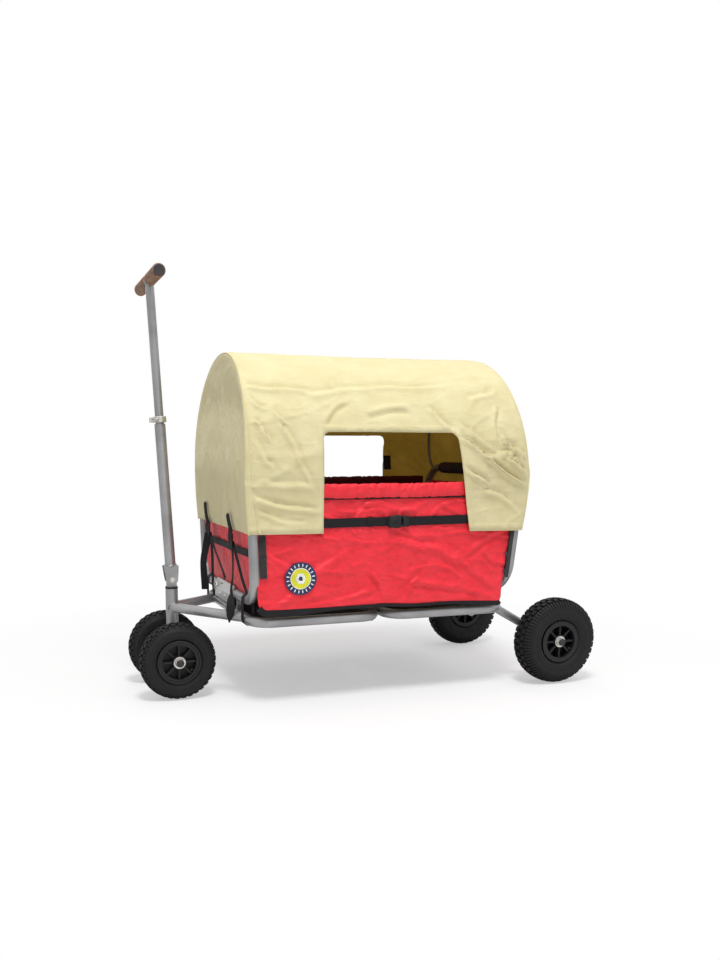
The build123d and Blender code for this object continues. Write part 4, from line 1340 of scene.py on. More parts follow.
def panelRelief(side, x, z):
    x, z = np.asarray(x, float), np.asarray(z, float)
    rear, front = panelEnds(z)
    across = np.clip((x - rear) / (front - rear), 0, 1)
    up = np.clip((z - panelLow[2]) / (rimLow - panelLow[2]), 0, 1)
    pillow = basket["pillow"] * (np.sin(math.pi * across) ** 0.6 + 0.6 * np.sin(math.pi * up * 0.9) - 0.8)
    creases = basket["creases"] if side > 0 else [
        (-a, b, -c, d, e, f) for a, b, c, d, e, f in basket["creases"]
    ]
    swell = ripples(x, z, 14.0 + side, basket["swells"])
    # the sewn patch on the left side keeps the cloth behind it flatter
    apart = ((x - badge["place"][0]) ** 2 + (z - badge["place"][1]) ** 2) / badge["flat"] ** 2
    stiff = np.exp(-(apart**3)) * (side > 0)
    ridges = crumple(x + 0.5 * z, z - 0.3 * x, 15.0 + side, basket["ridges"])
    swell = swell + (1 - 0.9 * stiff) * ridges * ease((rimLow - z) / (12 * mm)) - 2 * mm
    tuck = -2.2 * mm * hump(z, strapHeight, 16 * mm)
    foot = ease((z - footHeight(x) - 3 * mm) / (30 * mm))
    off = (pillow + creaseDepth(x, z, creases) * 0.8 + swell) * foot + tuck
    return np.clip(off, *basket["relief"])


def panelSkin(side, x, z, lift=0.0):
    x, z = np.broadcast_arrays(np.asarray(x, float), z)
    y = side * (basket["out"] + panelRelief(side, x, z) + lift)
    return stack(x, y, z)


def sidePanel(side, name):
    cell = basket["cell"]
    zs = np.linspace(panelLow[2], rimLow + 3 * mm, int((rimLow - panelLow[2]) / cell))
    shares = np.linspace(0, 1, int(2 * frontHoopX / cell))
    z, share = np.meshgrid(zs, shares, indexing="ij")
    rear, front = panelEnds(z)
    x = rear + (front - rear) * share
    z = panelFoot(x, z)
    faces = quads(*x.shape, (0, 1, 2, 3) if side > 0 else (3, 2, 1, 0))
    panel = Shape().add((panelSkin(side, x, z), faces, stack(x, z)))
    piece = panel.build(name, [redCloth, redInside], 180)
    thickened(piece, basket["cloth"])
    return piece


rollStep = 2.6 * mm


def gatheredRoll(path, out, tall, thick, seed, pinch=0.34):
    # a stuffed sleeve: fat between the places where its gathers pinch it
    chance = random.Random(seed)
    path = evenLine(path, rollStep)
    fat = np.broadcast_to(thick, len(path))
    run = runAlong(path)
    pinches, at = [], 0.0
    while at < run[-1]:
        pinches.append((at, chance.uniform(0.4, 1.0), chance.uniform(3, 6) * mm, chance.uniform(-0.35, 0.35)))
        at += chance.uniform(14, 34) * mm
    around = 22
    turns = np.linspace(0, 2 * math.pi, around, endpoint=False)
    section = stack(tall * np.cos(turns), np.sin(turns))
    ahead = unit(np.gradient(path, axis=0))
    out = np.broadcast_to(np.asarray(out, float), path.shape)
    across = unit(np.cross(ahead, out))
    points, uv = [], []
    for i, centre in enumerate(path):
        for k, (a, b) in enumerate(section):
            squeeze = 0
            for place, deep, wide, lean in pinches:
                if abs(run[i] - place) < 30 * mm:
                    squeeze += deep * math.exp(-(((run[i] + a * 0.5 + a * lean - place) / wide) ** 2))
            swell = 1 - pinch * squeeze + 0.07 * noise.noise(Vector((run[i] / 0.018, turns[k] * 1.3, seed)))
            high, proud = across[i] * a * (1 - 0.3 * (1 - swell)), out[i] * b * fat[i] * min(swell, 1)
            points.append(centre + high + proud)
            uv.append((run[i], turns[k] * tall))
    faces = quads(len(path), around, endsMeet=True) + endCaps(len(path), around)
    return np.array(points), faces, np.array(uv)


def rimRoll(side, name):
    z = rimLow + basket["rimTall"] - 1 * mm
    rear, front = panelEnds(z)
    x = np.linspace(rear + 1 * mm, front - 1 * mm, 60)
    sway = ripples(x, 0 * x, 31.0 + side, [(0.12, 1, 2.5 * mm), (0.05, 1, 1.0 * mm)])

    def swell(at):
        # fatter where no canvas lies over the roll
        return basket["rimSwell"] * ease((at - middleX + 0.235) / 0.03) * ease((middleX + 0.19 - at) / 0.03)

    path = stack(x, side * (basket["rimCentre"] + swell(x)), z - 2 * mm + sway)
    fat = basket["rimThick"] + swell(evenLine(path, rollStep)[:, 0])
    roll = gatheredRoll(path, (0, side, 0), basket["rimTall"] - 1 * mm, fat, 5 if side > 0 else 8)
    return Shape().add(roll).build(name, [redCloth if side > 0 else redInside], 180)


def sideTrim(side, word):
    # piping under the rim, the black binding below, hook-and-loop strips and corner stitching
    piping, binding, tape, sewn = Shape(), Shape(), Shape(), Shape()
    rear, front = panelEnds(rimLow)
    x = np.linspace(rear + 2 * mm, front - 2 * mm, 150)
    out = (0, side, 0)
    line = panelSkin(side, x, rimLow - 2.5 * mm, 2.6 * mm)
    piping.add(swept(line, roundSection(2.7 * mm, 8), out))
    rear, front = panelEnds(panelLow[2])
    x = np.linspace(rear + 2 * mm, front - 2 * mm, 170)
    foot = panelFoot(x, panelLow[2])
    band = panelSkin(side, x, foot, 0.3 * mm)
    band[:, 2] -= 4 * mm
    band[:, 1] = side * (basket["out"] + 0.4 * mm)
    wide = 0.45 + 0.5 * ease((x - middleX - 0.13) / 0.16) + 0.28 * ease((middleX - 0.20 - x) / 0.12)
    scale = stack(wide, 1.0)
    binding.add(ribbon(band, 20 * mm, 2.4 * mm, out, scale=scale))
    for end, (low, high, ahead, width, stitches) in enumerate(basket["cornerTapes"]):
        z = np.linspace(low, high, 40)
        x = panelEnds(z)[end] + ahead
        line = panelSkin(side, x, z, 1.3 * mm)
        stand = 2.6 * mm + 0.6 * (np.abs(line[:, 1]) - basket["out"]) if end else 5.4 * mm
        line[:, 1] = side * (basket["out"] + stand)
        tape.add(ribbon(line, width, 2.0 * mm, out))
        stitched(sewn, panelSkin(side, x + stitches, z, 0.3 * mm), out)
    for up in (352 * mm, 402 * mm):
        rear = panelEnds(up)[0]
        tab = [(rear + x * mm, side * (basket["out"] + stand * mm), up) for x, stand in ((-8, 5.4), (8, 5.0))]
        tape.add(ribbon(evenLine(tab, 4 * mm), 12 * mm, 1.6 * mm, out))
    for up in (rimLow - 6 * mm, panelLow[2] + 14 * mm):
        rear, front = panelEnds(up)
        x = np.linspace(rear + 34 * mm, front - 34 * mm, 130)
        stitched(sewn, panelSkin(side, x, up, 0.2 * mm), out)
    pieces = [
        piping.build(f"rimPiping{word}", [bindingCloth]), binding.build(f"footBinding{word}", [bindingCloth]),
        tape.build(f"cornerTapes{word}", [fuzz]), sewn.build(f"panelStitches{word}", [redThread]),
    ]
    for piece in pieces:
        foldAway(piece, "side", "red_fabric" if piece == pieces[3] else "black_webbing")
    return pieces


# a side-release buckle; blocks are ahead of its middle, then length, width, thickness and edge
sideBuckle = {
    "strap": 25 * mm, "keeperAhead": 62 * mm, "out": 297.2 * mm,
    "socket": (11, 36, 33, 9, 2.4), "plug": (-21, 16, 31, 7.5, 2.0),
    "prong": [(-14, 11.5), (-4, 14.6), (6, 16.4), (15, 14.0)], "prongRadius": 2.6 * mm,
    "bars": (-31, 30), "barReach": 15.5, "barRadius": 2.2 * mm,
}


def sideStrap(side, word):
    # the webbing across the side and its side-release buckle
    strap = Shape()
    out = (0, side, 0)
    rear, front = panelEnds(strapHeight)
    x = np.linspace(rear + 3 * mm, front - 3 * mm, 160)
    sway = ripples(x, 0 * x, 40.0 + side, [(0.14, 1, 2.0 * mm)])
    line = panelSkin(side, x, strapHeight + sway)
    rows = [np.abs(panelSkin(side, x, strapHeight + sway + up * mm)[:, 1]) for up in (-11, -5, 0, 5, 11)]
    stand = np.pad(np.maximum.reduce(rows), 4, "edge")
    stand = np.maximum.reduce([stand[k:k + len(x)] for k in range(9)])
    stand = np.convolve(np.pad(stand, 6, "edge"), np.ones(13) / 13, "valid")
    line[:, 1] = side * np.maximum(stand + 1.5 * mm, 290.2 * mm)
    strap.add(ribbon(line, sideBuckle["strap"], 1.7 * mm, out))
    keeper = line[np.argmin(np.abs(x - (middleX + sideBuckle["keeperAhead"])))]
    strap.add(slab(keeper + np.array([0, side * 2.0 * mm, 0]), (1, 0, 0), out, 14 * mm, 27 * mm, 1.6 * mm))
    low, high = box(f"strap_buckle_{word.lower()}")
    centre = (low + high) / 2
    centre[1] = side * sideBuckle["out"]
    buckle = Shape()

    def beside(forward, outward, up):
        return centre + np.array([forward, outward, up]) * mm

    for part in ("socket", "plug"):
        forward, *size = sideBuckle[part]
        buckle.add(slab(beside(forward, 0, 0), (1, 0, 0), out, *(v * mm for v in size)))
    for up in (-1, 1):
        prong = smoothLine([beside(forward, 0, up * high) for forward, high in sideBuckle["prong"]], 2 * mm)
        buckle.add(swept(prong, roundSection(sideBuckle["prongRadius"], 8), out))
        buckle.add(slab(beside(-27.5, 0, up * 13), (1, 0, 0), out, 9 * mm, 4.5 * mm, 8.5 * mm, 1.2 * mm))
    for k in range(3):
        rib = beside(3 + 6 * k, side * 4.8, 0)
        buckle.add(slab(rib, (0, 0, 1), out, 17 * mm, 2.0 * mm, 1.4 * mm, 0.5 * mm))
    for forward in sideBuckle["bars"]:
        bar = [beside(forward, side * -1.0, up * sideBuckle["barReach"]) for up in (-1, 1)]
        buckle.add(swept(evenLine(np.array(bar), 5 * mm), roundSection(sideBuckle["barRadius"], 10), out))
    strapPiece = strap.build(f"sideStrap{word}", [webbing])
    bucklePiece = buckle.build(f"strapBuckle{word}", [blackPlastic])
    foldAway(strapPiece, "side", "black_webbing", f"side_strap_{word.lower()}")
    foldAway(bucklePiece, "side", "black_plastic", f"strap_buckle_{word.lower()}")
    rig.sheet(
        strapPiece, flat=(sideBuckle["strap"], float(front - rear)), held="stretched",
        rests_on=[f"sidePanel{word}"], with_pieces=[bucklePiece],
    )


def badgeAt(side):
    # a round sewn patch: navy ring with pale dashes, yellow disc, white six-sided middle
    place, radius = badge["place"], badge["radius"]
    patch = Shape()

    def disc(inner, outer, paint, lift, flats, count=72):
        turns = np.linspace(0, 2 * math.pi, count, endpoint=False)
        rings = np.linspace(inner, outer, 5)
        points = []
        for r in rings:
            for t in turns:
                half = math.pi / flats if flats else 0
                shrink = math.cos(half) / math.cos((t % (2 * half)) - half) if flats else 1
                points.append((place[0] + r * shrink * math.cos(t), place[1] + r * shrink * math.sin(t)))
        flat = np.array(points)
        skin = panelSkin(side, flat[:, 0], flat[:, 1], lift)
        off = np.abs(skin[:, 1]) - basket["out"] - lift
        skin[:, 1] = side * (basket["out"] + 1.8 * mm + lift + 0.55 * off)
        order = (0, 3, 2, 1) if side > 0 else (1, 2, 3, 0)
        patch.add((skin, quads(len(rings), count, order, endsMeet=True), flat), paint)

    for inner, outer, paint, lift, flats in badge["rings"]:
        disc(inner * mm, outer * mm, paint, lift * mm, flats)
    for k in range(badge["dashes"]):
        t = 2 * math.pi * (k + 0.5) / badge["dashes"]
        ring = radius * badge["dashRing"]
        at = panelSkin(side, place[0] + ring * math.cos(t), place[1] + ring * math.sin(t))
        at[1] = side * (basket["out"] + 3.2 * mm + 0.55 * (abs(at[1]) - basket["out"]))
        spoke = (math.cos(t), 0, math.sin(t))
        patch.add(slab(at, spoke, (0, side, 0), 8 * mm, 3.0 * mm, 0.9 * mm, 0.3 * mm), 1)
    piece = patch.build("sideBadge", [badgeNavy, badgeWhite, badgeYellow])
    foldAway(piece, "side", "red_fabric")


for side, word in ((1, "Left"), (-1, "Right")):
    panel = sidePanel(side, f"sidePanel{word}")
    roll = rimRoll(side, f"rimRoll{word}")
    foldAway(panel, "side", "red_fabric", f"side_panel_{word.lower()}")
    foldAway(roll, "side", "red_fabric")
    trim = sideTrim(side, word)
    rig.sheet(
        panel, flat=(2 * frontHoopX, float(rimLow - panelLow[2])), held="stretched",
        rests_on=["hoop_front", "hoop_rear"], with_pieces=trim,
    )
    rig.padded(roll, fill=0.7)
    sideStrap(side, word)
badgeAt(1)
stage("basket sides")


def hoopInside(z, low, bend, tube):
    # half the clear width inside a hoop at height z
    rise = z - low
    inner = bend - tube
    arc = bend - np.sqrt(np.maximum(inner**2 - (bend - np.minimum(rise, bend)) ** 2, 0))
    return hoopHalfWidth - np.where(rise < bend, arc, tube)


hoopBend = 80 * mm
endPanels = {
    "front": {
        "body": "front_hoop", "node": "end_panel_front",
        "at": frontHoopAt, "tube": tubeRadius, "way": 1, "seed": 21,
        # upright folds: across, height from, height to, depth, width, all in mm
        "folds": [
            (-150, 330, 580, 2.5, 18), (-40, 340, 600, 2.0, 24),
            (80, 330, 560, 2.4, 20), (190, 350, 590, 2.4, 16),
        ],
    },
    "rear": {
        "body": "rear_hoop", "node": "end_panel_rear",
        "at": rearHoopAt, "tube": slimRadius, "way": -1, "seed": 22,
        "folds": [(-170, 340, 560, 2.6, 20), (-20, 330, 580, 2.2, 26), (140, 340, 570, 2.4, 18)],
    },
}
for end, s in endPanels.items():
    low, high = box(s["node"])
    zs = np.linspace(low[2] + 1 * mm, high[2] - 8 * mm, 42)
    shares = np.linspace(-1, 1, 64)
    z, share = np.meshgrid(zs, shares, indexing="ij")
    half = hoopInside(z, hoopLow, hoopBend, s["tube"] + 0.6 * mm)
    y = share * half
    off = ripples(y, z, 50.0 + s["way"], [(0.09, 0.10, 3 * mm), (0.035, 0.04, 1.2 * mm)])
    for at, a, b, deep, wide in s["folds"]:
        upright = ease((z / mm - a) / 60 + 0.5) * ease((b - z / mm) / 60 + 0.5)
        off += deep * mm * upright * np.exp(-(((y / mm - at) / wide) ** 2))
    off = off * ease((1 - np.abs(share)) / 0.12) + 1.5 * mm
    x = s["at"](z) + s["way"] * np.clip(off, -3 * mm, 5 * mm)
    faces = quads(*x.shape, (0, 3, 2, 1) if s["way"] > 0 else (1, 2, 3, 0))
    panel = Shape().add((stack(x, y, z), faces, stack(y, z)))
    panel = panel.build(f"endPanel{end.title()}", [redCloth, redInside], 180)
    thickened(panel, 1.6 * mm)
    ride(panel, s["body"], "red_fabric", s["node"])
    top = zs[-1]
    width = float(hoopInside(top, hoopLow, hoopBend, s["tube"] + 3 * mm))
    rimX, rimZ = s["at"](top) + s["way"] * 0.5 * mm, top + 2 * mm
    line = np.array([(rimX, across, rimZ) for across in np.linspace(-width, width, 40)])
    roll = Shape().add(gatheredRoll(line, (s["way"], 0, 0), 9 * mm, 6 * mm, s["seed"]))
    roll = roll.build(f"endRim{end.title()}", [redCloth], 180)
    ride(roll, s["body"], "red_fabric")
    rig.padded(roll, fill=0.7)
    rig.sheet(
        panel, flat=(2 * float(y.max()), float(high[2] - low[2])), held="stretched",
        rests_on=[f"hoop_{end}"], with_pieces=[roll],
    )
stage("basket ends")


def strapLine(points, width, thickness=1.4 * mm, face=(1, 0, 0), tip=False, twist=0.0):
    # a hanging strap through the points; tip narrows its last stretch, twist turns its face on the way
    path = smoothLine(np.asarray(points) * mm, 3 * mm)
    count = len(path)
    share = np.linspace(0, 1, count)
    wide = np.ones(count)
    if tip:
        wide = np.clip((1 - share) / 0.10, 0.12, 1)
    turn = twist * np.sin(math.pi * share)
    face = unit(face)
    aside = unit(np.cross(face, (0, 0, 1)))
    faces = np.cos(turn)[:, None] * face + np.sin(turn)[:, None] * aside
    scale = stack(wide, 1.0)
    return ribbon(path, width, thickness, faces, scale=scale)


ties = {
    # strips of each tie and how wide they are; then where each runs, in mm
    "width": {"hem": 15 * mm, "thin": 11 * mm, "second": 11 * mm, "tail": 24 * mm, "knot": 14 * mm},
    "Near": {
        "hem": [(432.4, 133, 529), (432.2, 135, 518), (430.5, 142, 500), (427, 148, 480)],
        "buckle": (425.5, 151, 462),
        "thin": [(424, 146, 452), (421, 142, 400), (423, 146, 350), (425, 138, 318), (424, 134, 288)],
        "second": [(424, 156, 450), (419, 184, 402), (415, 220, 352), (410, 246, 318)],
        "tail": [(425, 138, 304), (430, 152, 290), (435, 164, 262), (437, 156, 222)],
        "knot": [
            (428, 143, 486), (433, 154, 470), (431, 162, 452),
            (428, 150, 438), (430, 141, 462), (428, 148, 484),
        ],
    },
    "Far": {
        "hem": [(432.4, -139, 546), (432.2, -137, 530), (430.5, -131, 500), (427, -126, 484)],
        "buckle": (425.5, -118, 466),
        "thin": [(424, -112, 452), (421, -72, 408), (419, -8, 366), (418, 44, 332)],
        "second": [(424, -116, 450), (421, -104, 400), (420, -103, 340), (419, -105, 296), (414, -105, 256)],
        "tail": [(427, -122, 448), (433, -136, 405), (436, -158, 352), (430, -162, 268)],
        "knot": [
            (428, -112, 488), (433, -120, 472), (431, -128, 454),
            (428, -118, 442), (430, -110, 464), (428, -116, 486),
        ],
    },
}
for word in ("Near", "Far"):
    s = ties[word]
    soft = Shape()
    soft.add(strapLine(s["hem"][::-1], ties["width"]["hem"], 3.0 * mm, (1, 0.4, 0), tip=True))
    soft.add(strapLine(s["thin"], ties["width"]["thin"], face=(1, 0.7, 0), twist=0.5))
    soft.add(strapLine(s["second"], ties["width"]["second"], face=(1, 0.6, 0)))
    soft.add(strapLine(s["knot"], ties["width"]["knot"], face=(1, 0.9, 0), twist=0.6))
    if word == "Near":
        path = smoothLine(np.array(s["tail"]) * mm, 3 * mm)
        leaf = np.interp(np.linspace(0, 1, len(path)), [0, 0.25, 0.6, 0.8, 1], [0.25, 0.85, 1, 0.7, 0.1])
        soft.add(ribbon(path, 25 * mm, 2.2 * mm, (0.45, 1, 0), scale=stack(leaf, 1.0)))
    else:
        soft.add(strapLine(s["tail"], ties["width"]["tail"], 1.5 * mm, (0.45, 1, 0), twist=0.4))
    tie = soft.build(f"canopyTie{word}", [webbing])
    hard = Shape()
    at = np.array(s["buckle"]) * mm
    for aside, up in ((0, -11), (0, 0), (0, 11), (-11, 0), (11, 0)):
        along, length = ((0, 0, 1), 27 * mm) if aside else ((0, 1, 0), 24 * mm)
        place = at + np.array([2.2, aside, up]) * mm
        hard.add(slab(place, along, (1, 0, 0), length, 4.4 * mm, 5 * mm, 1.4 * mm))
    buckle = hard.build(f"tieBuckle{word}", [blackPlastic])
    ride(tie, "front_hoop", "black_webbing")
    ride(buckle, "front_hoop", "black_plastic")
    runs = {part: lengthAlong(smoothLine(np.array(s[part]) * mm, 3 * mm)) for part in ties["width"]}
    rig.sheet(
        tie, flat=(ties["width"]["tail"], sum(runs.values())), held="hung", rests_on=["canopyCover"],
        area=sum(ties["width"][part] * run for part, run in runs.items()), with_pieces=[buckle],
    )

# webbing bands that hold the basket down to the cross tubes
holdDown = {
    "width": 24 * mm,
    # where each pair goes, and the bodies below and above
    "Front": (frontHoopX, 205 * mm, "base_front", "front_hoop"),
    "Rear": (-376 * mm, 195 * mm, "base_rear", "rear_hoop"),
}
bandReach = tubeRadius + 1.4 * mm
for end in ("Front", "Rear"):
    x, y, body, hoop = holdDown[end]
    bands = Shape()
    for side in (-1, 1):
        ring, hubs = [], []
        for start, centre in ((0, hoopLow), (math.pi, baseHeight)):
            for turn in np.linspace(start, start + math.pi, 14):
                ring.append((x + bandReach * math.cos(turn), side * y, centre + bandReach * math.sin(turn)))
        path = evenLine([*ring, ring[0]], 3 * mm)[:-1]
        hubs = stack(x, path[:, 1], np.clip(path[:, 2], baseHeight, hoopLow))
        bands.add(ribbon(path, holdDown["width"], 1.6 * mm, path - hubs, closed=True))
    piece = bands.build(f"holdDown{end}", [webbing])
    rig.slot(piece, "black_webbing")
    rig.blend(piece, hoop, body, (x, 0, hoopLow - 16 * mm), (x, 0, baseHeight + 16 * mm))
    around = lengthAlong([*path, path[0]])
    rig.sheet(piece, flat=(holdDown["width"], 2 * around), held="stretched", rests_on=[f"hoop_{end.lower()}"])

# the webbing across the front panel
frontStrap = {"up": 428 * mm, "width": 20 * mm, "proud": 7.2 * mm}
z = frontStrap["up"]
y = np.linspace(-1, 1, 110) * float(hoopInside(z, hoopLow, hoopBend, tubeRadius + 1 * mm))
x = frontHoopAt(z) + frontStrap["proud"] + ripples(y, 0 * y, 61.0, [(0.1, 1, 0.8 * mm)])
x = x - 5 * mm * ease((np.abs(y) - 0.235) / 0.03)
line = stack(x, y, z + ripples(y, 0 * y, 63.0, [(0.15, 1, 2 * mm)]))
strap = Shape().add(ribbon(line, frontStrap["width"], 1.6 * mm, (1, 0, 0)))
strap = strap.build("frontStrap", [webbing])
ride(strap, "front_hoop", "black_webbing")
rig.sheet(strap, flat=(frontStrap["width"], lengthAlong(line)), held="stretched", rests_on=["hoop_front"])
stage("front straps")


floor = {
    "pillow": 3.2 * mm, "seam": 128 * mm, "seed": {"front": 70.0, "rear": 74.0},
    "swells": [(0.10, 0.12, 2.2 * mm), (0.03, 0.04, 0.9 * mm)],
}
for end, body in (("front", "base_front"), ("rear", "base_rear")):
    low, high = box(f"floor_panel_{end}")
    xs = np.linspace(low[0], high[0], 44)
    ys = np.linspace(low[1], high[1], 62)
    x, y = np.meshgrid(xs, ys, indexing="ij")
    inner = np.minimum.reduce([x - low[0], high[0] - x, y - low[1], high[1] - y])
    edge = ease(inner / (20 * mm))
    rough = ripples(x, y, floor["seed"][end], floor["swells"])
    swell = floor["pillow"] * ease(inner / (34 * mm)) + rough * edge
    quilt = -2.6 * mm * (hump(y, 0, 7 * mm) + hump(np.abs(y), floor["seam"], 7 * mm))
    z = high[2] + np.clip(swell + quilt * edge, -1.2 * mm, 6 * mm)
    cloth = Shape().add((stack(x, y, z), quads(*x.shape), stack(x, y)))
    for across in (-1, 0, 1):
        ends = low[0] + 22 * mm, high[0] - 22 * mm
        seam = np.array([(at, across * floor["seam"], high[2] + 1.3 * mm) for at in ends])
        stitched(cloth, seam, (0, 0, 1), paint=2)
    cloth = cloth.build(f"floorCloth{end.title()}", [floorCloth, floorCloth, thread], 180)
    length, width = (high - low)[:2] - 2 * mm
    board = Shape().add(slab((low + high) / 2, (1, 0, 0), (0, 0, 1), length, width, 4.4 * mm, 1 * mm))
    board = board.build(f"floorBoard{end.title()}", [bindingCloth])
    ride(cloth, body, "floor_cloth", f"floor_panel_{end}")
    ride(board, body, "floor_cloth")
    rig.sheet(
        cloth, flat=(float(high[0] - low[0]), float(high[1] - low[1])), held="laid",
        rests_on=[f"floorBoard{end.title()}"],
    )

low, high = box("push_bar_foam")
middle, radius = (low + high) / 2, (high[2] - low[2]) / 2
rings = 120
bar = [(middle[0], share * high[1], middle[2]) for share in np.linspace(-1, 1, rings)]
fullness = []
for k in range(rings):
    fromEnd = min(k, rings - 1 - k)
    lump = 0.030 * noise.noise(Vector((k * 0.22, 4.0, 1.0)))
    fullness.append(1 + lump - 0.10 * math.exp(-(fromEnd / 1.3) ** 2))
foamBar = Shape().add(swept(bar, roundSection(radius - 0.5 * mm, 28), (0, 0, 1), scale=fullness))
seamX, seamY, seamZ = middle[0] + radius * 0.1, high[1] - 4 * mm, low[2] + 0.6 * mm
seam = np.array([(seamX, way * seamY, seamZ) for way in (-1, 1)])
stitched(foamBar, seam, (0, 0, -1), paint=1)
foamBar = foamBar.build("pushBarFoam", [foam, thread])
ride(foamBar, "rear_hoop", "black_foam", "push_bar_foam")
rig.padded(foamBar, fill=0.9)
stage("floor and push bar")


welds = {
    "bead": 2.1 * mm, "headRadius": 18 * mm,
    # drawbar leg: foot on the cross tube and nose on the head tube, the left one, in mm
    "legFoot": (400, 170, 238), "legNose": (569, 8, 248),
    "headTube": (569, 0, 240), "frontTube": (396, 0, 238),
    # rear wheel arm: foot by the wheel and top on the rear cross tube
    "armFoot": (-555, 219.5, 130), "armTop": (-382, 219.5, 228), "rearTube": (-376, 0, 238),
}


def onSide(place, side):
    return place[0], place[1] * side, place[2]


def weldBetween(name, body, joins):
    beads = Shape()
    for k, (start, toward, radius, through, axis, axisRadius) in enumerate(joins):
        start, toward = np.array(start) * mm, np.array(toward) * mm
        line = tubeMeetsTube(start, toward - start, radius, np.array(through) * mm, axis, axisRadius)
        beads.add(weldRing(line, welds["bead"], k + 3))
    piece = beads.build(name, [tubeGrey])
    ride(piece, body, "satin_grey_tube")


legs, arms = [], []
for side in (-1, 1):
    foot, nose = onSide(welds["legFoot"], side), onSide(welds["legNose"], side)
    legs.append((foot, nose, tubeRadius, welds["headTube"], (0, 0, 1), welds["headRadius"]))
    legs.append((nose, foot, tubeRadius, welds["frontTube"], (0, 1, 0), tubeRadius))
    foot, top = onSide(welds["armFoot"], side), onSide(welds["armTop"], side)
    arms.append((foot, top, slimRadius, welds["rearTube"], (0, 1, 0), tubeRadius))
weldBetween("drawbarWelds", "base_front", legs)
weldBetween("rearArmWelds", "base_rear", arms)

# the pull tube's line: lean runs up it and ahead is square to it, in the plane of the wagon's middle
boltAt = sum(box("tilt_bolt")) / 2
lean = unit(sum(box("grip_sleeves")) / 2 - boltAt)
ahead = np.array([lean[2], 0, -lean[0]])


def byTube(origin, forward, left=0.0, up=0.0):
    # a place by the pull tube, in mm from the origin
    return origin + ahead * forward * mm + np.array([0, left, up]) * mm


# the forked bracket at the foot of the pull tube
forked = {
    "cheek": (13.6 * mm, 16.8 * mm), "round": (17, 14),
    "edge": [(19.5, 20), (21.5, 41), (-21.5, 41), (-19.5, 20)],
    "collar": [(13.75, -2.2), (18.0, -2.2), (18.8, -1.2), (18.8, 1.4), (18.0, 2.2), (13.75, 2.2)],
    "collarUp": 40 * mm, "web": (36 * mm, 27 * mm, 4 * mm, 1 * mm), "webUp": 23.6 * mm,
    "weldUp": 43.5 * mm, "weldRing": 16 * mm, "bead": 1.9 * mm,
    # radius and height of the bolt's head and washer, and how far out each sits in mm
    "head": [(0, 0), (5.6, 0), (5.6, 2.6), (4.8, 3.6), (0, 3.9)], "headOut": 17.9,
    "washer": [(0, 0), (7.6, 0), (7.6, 1.2), (0, 1.3)], "washerOut": 16.7,
}
fork = Shape()
outline = []
for turn in np.linspace(math.pi, 2 * math.pi, 14):
    outline.append((forked["round"][0] * math.cos(turn), forked["round"][1] * math.sin(turn)))
outline = np.array(outline + forked["edge"]) * mm
count = len(outline)
for way in (-1, 1):
    rows = []
    for y in forked["cheek"]:
        rows.append([boltAt + ahead * a + lean * b + np.array([0, way * y, 0]) for a, b in outline])
    faces = [tuple(reversed(range(count))), tuple(range(count, 2 * count))]
    faces += [(k, (k + 1) % count, (k + 1) % count + count, k + count) for k in range(count)]
    fork.add((np.array(rows[0] + rows[1]), faces, np.zeros((2 * count, 2))))
fork.add(lathe(forked["collar"], boltAt + lean * forked["collarUp"], lean, 44, closed=True))
fork.add(slab(boltAt + lean * forked["webUp"], ahead, lean, *forked["web"]))
ring = []
for turn in np.linspace(0, 2 * math.pi, 40, endpoint=False):
    outward = math.cos(turn) * ahead + math.sin(turn) * np.array([0, 1, 0])
    ring.append(boltAt + lean * forked["weldUp"] + forked["weldRing"] * outward)
fork.add(weldRing(ring, forked["bead"], 9))
fork = fork.build("handleFork", [tubeGrey])
ride(fork, "handle_lower", "satin_grey_tube", "handle_clevis")

boltHead = Shape()
for way in (-1, 1):
    flats = 6 if way < 0 else 24
    for part, sides in (("head", flats), ("washer", 28)):
        place = byTube(boltAt, 0, way * forked[part + "Out"])
        boltHead.add(lathe(forked[part], place, (0, way, 0), sides))
boltHead = boltHead.build("tiltBoltHeads", [zinc])
ride(boltHead, "handle_lower", "zinc_steel")

# the clamp at the joint of the pull tube: a band, its bolt and a looped lever
clampParts = {
    "back": 19.5 * mm,
    "band": [(14.4, -8.5), (18.2, -8.5), (19.2, -7.5), (19.2, 7.5), (18.2, 8.5), (14.4, 8.5)],
    "ear": (12 * mm, 15 * mm, 3.6 * mm, 1 * mm), "earAt": (23, 3.6),
    "boltForward": 24.5, "boltLeft": (-5.6, 5.4),
    "bolt": [(0, 0), (4.4, 0), (4.4, 2.6), (3.4, 3.4), (0, 3.5)],
    "pivot": [(0, 0), (4.6, 0), (4.6, 7), (0, 7)],
    # the wire loop: forward, left and up from the clamp's middle
    "loop": [
        (24, 5, 3.5), (22, 18, 4), (16, 34, 1.6), (14, 43, 0),
        (16, 34, -1.6), (22, 18, -4), (24, 5, -3.5),
    ],
    "wire": 2.4 * mm,
}
low, high = box("telescope_clamp")
clampAt = np.array([low[0] + clampParts["back"], 0, (low[2] + high[2]) / 2])
clamp, lever = Shape(), Shape()
clamp.add(lathe(clampParts["band"], clampAt, lean, 48, closed=True))
for way in (-1, 1):
    earAt = byTube(clampAt, clampParts["earAt"][0], way * clampParts["earAt"][1])
    clamp.add(slab(earAt, ahead, (0, way, 0), *clampParts["ear"]))
boltPlace, pivotPlace = (byTube(clampAt, clampParts["boltForward"], left) for left in clampParts["boltLeft"])
clamp.add(lathe(clampParts["bolt"], boltPlace, (0, -1, 0), 6))
handle = smoothLine([byTube(clampAt, *place) for place in clampParts["loop"]], 2 * mm)
lever.add(swept(handle, roundSection(clampParts["wire"], 10), (0.3, 0, 1)))
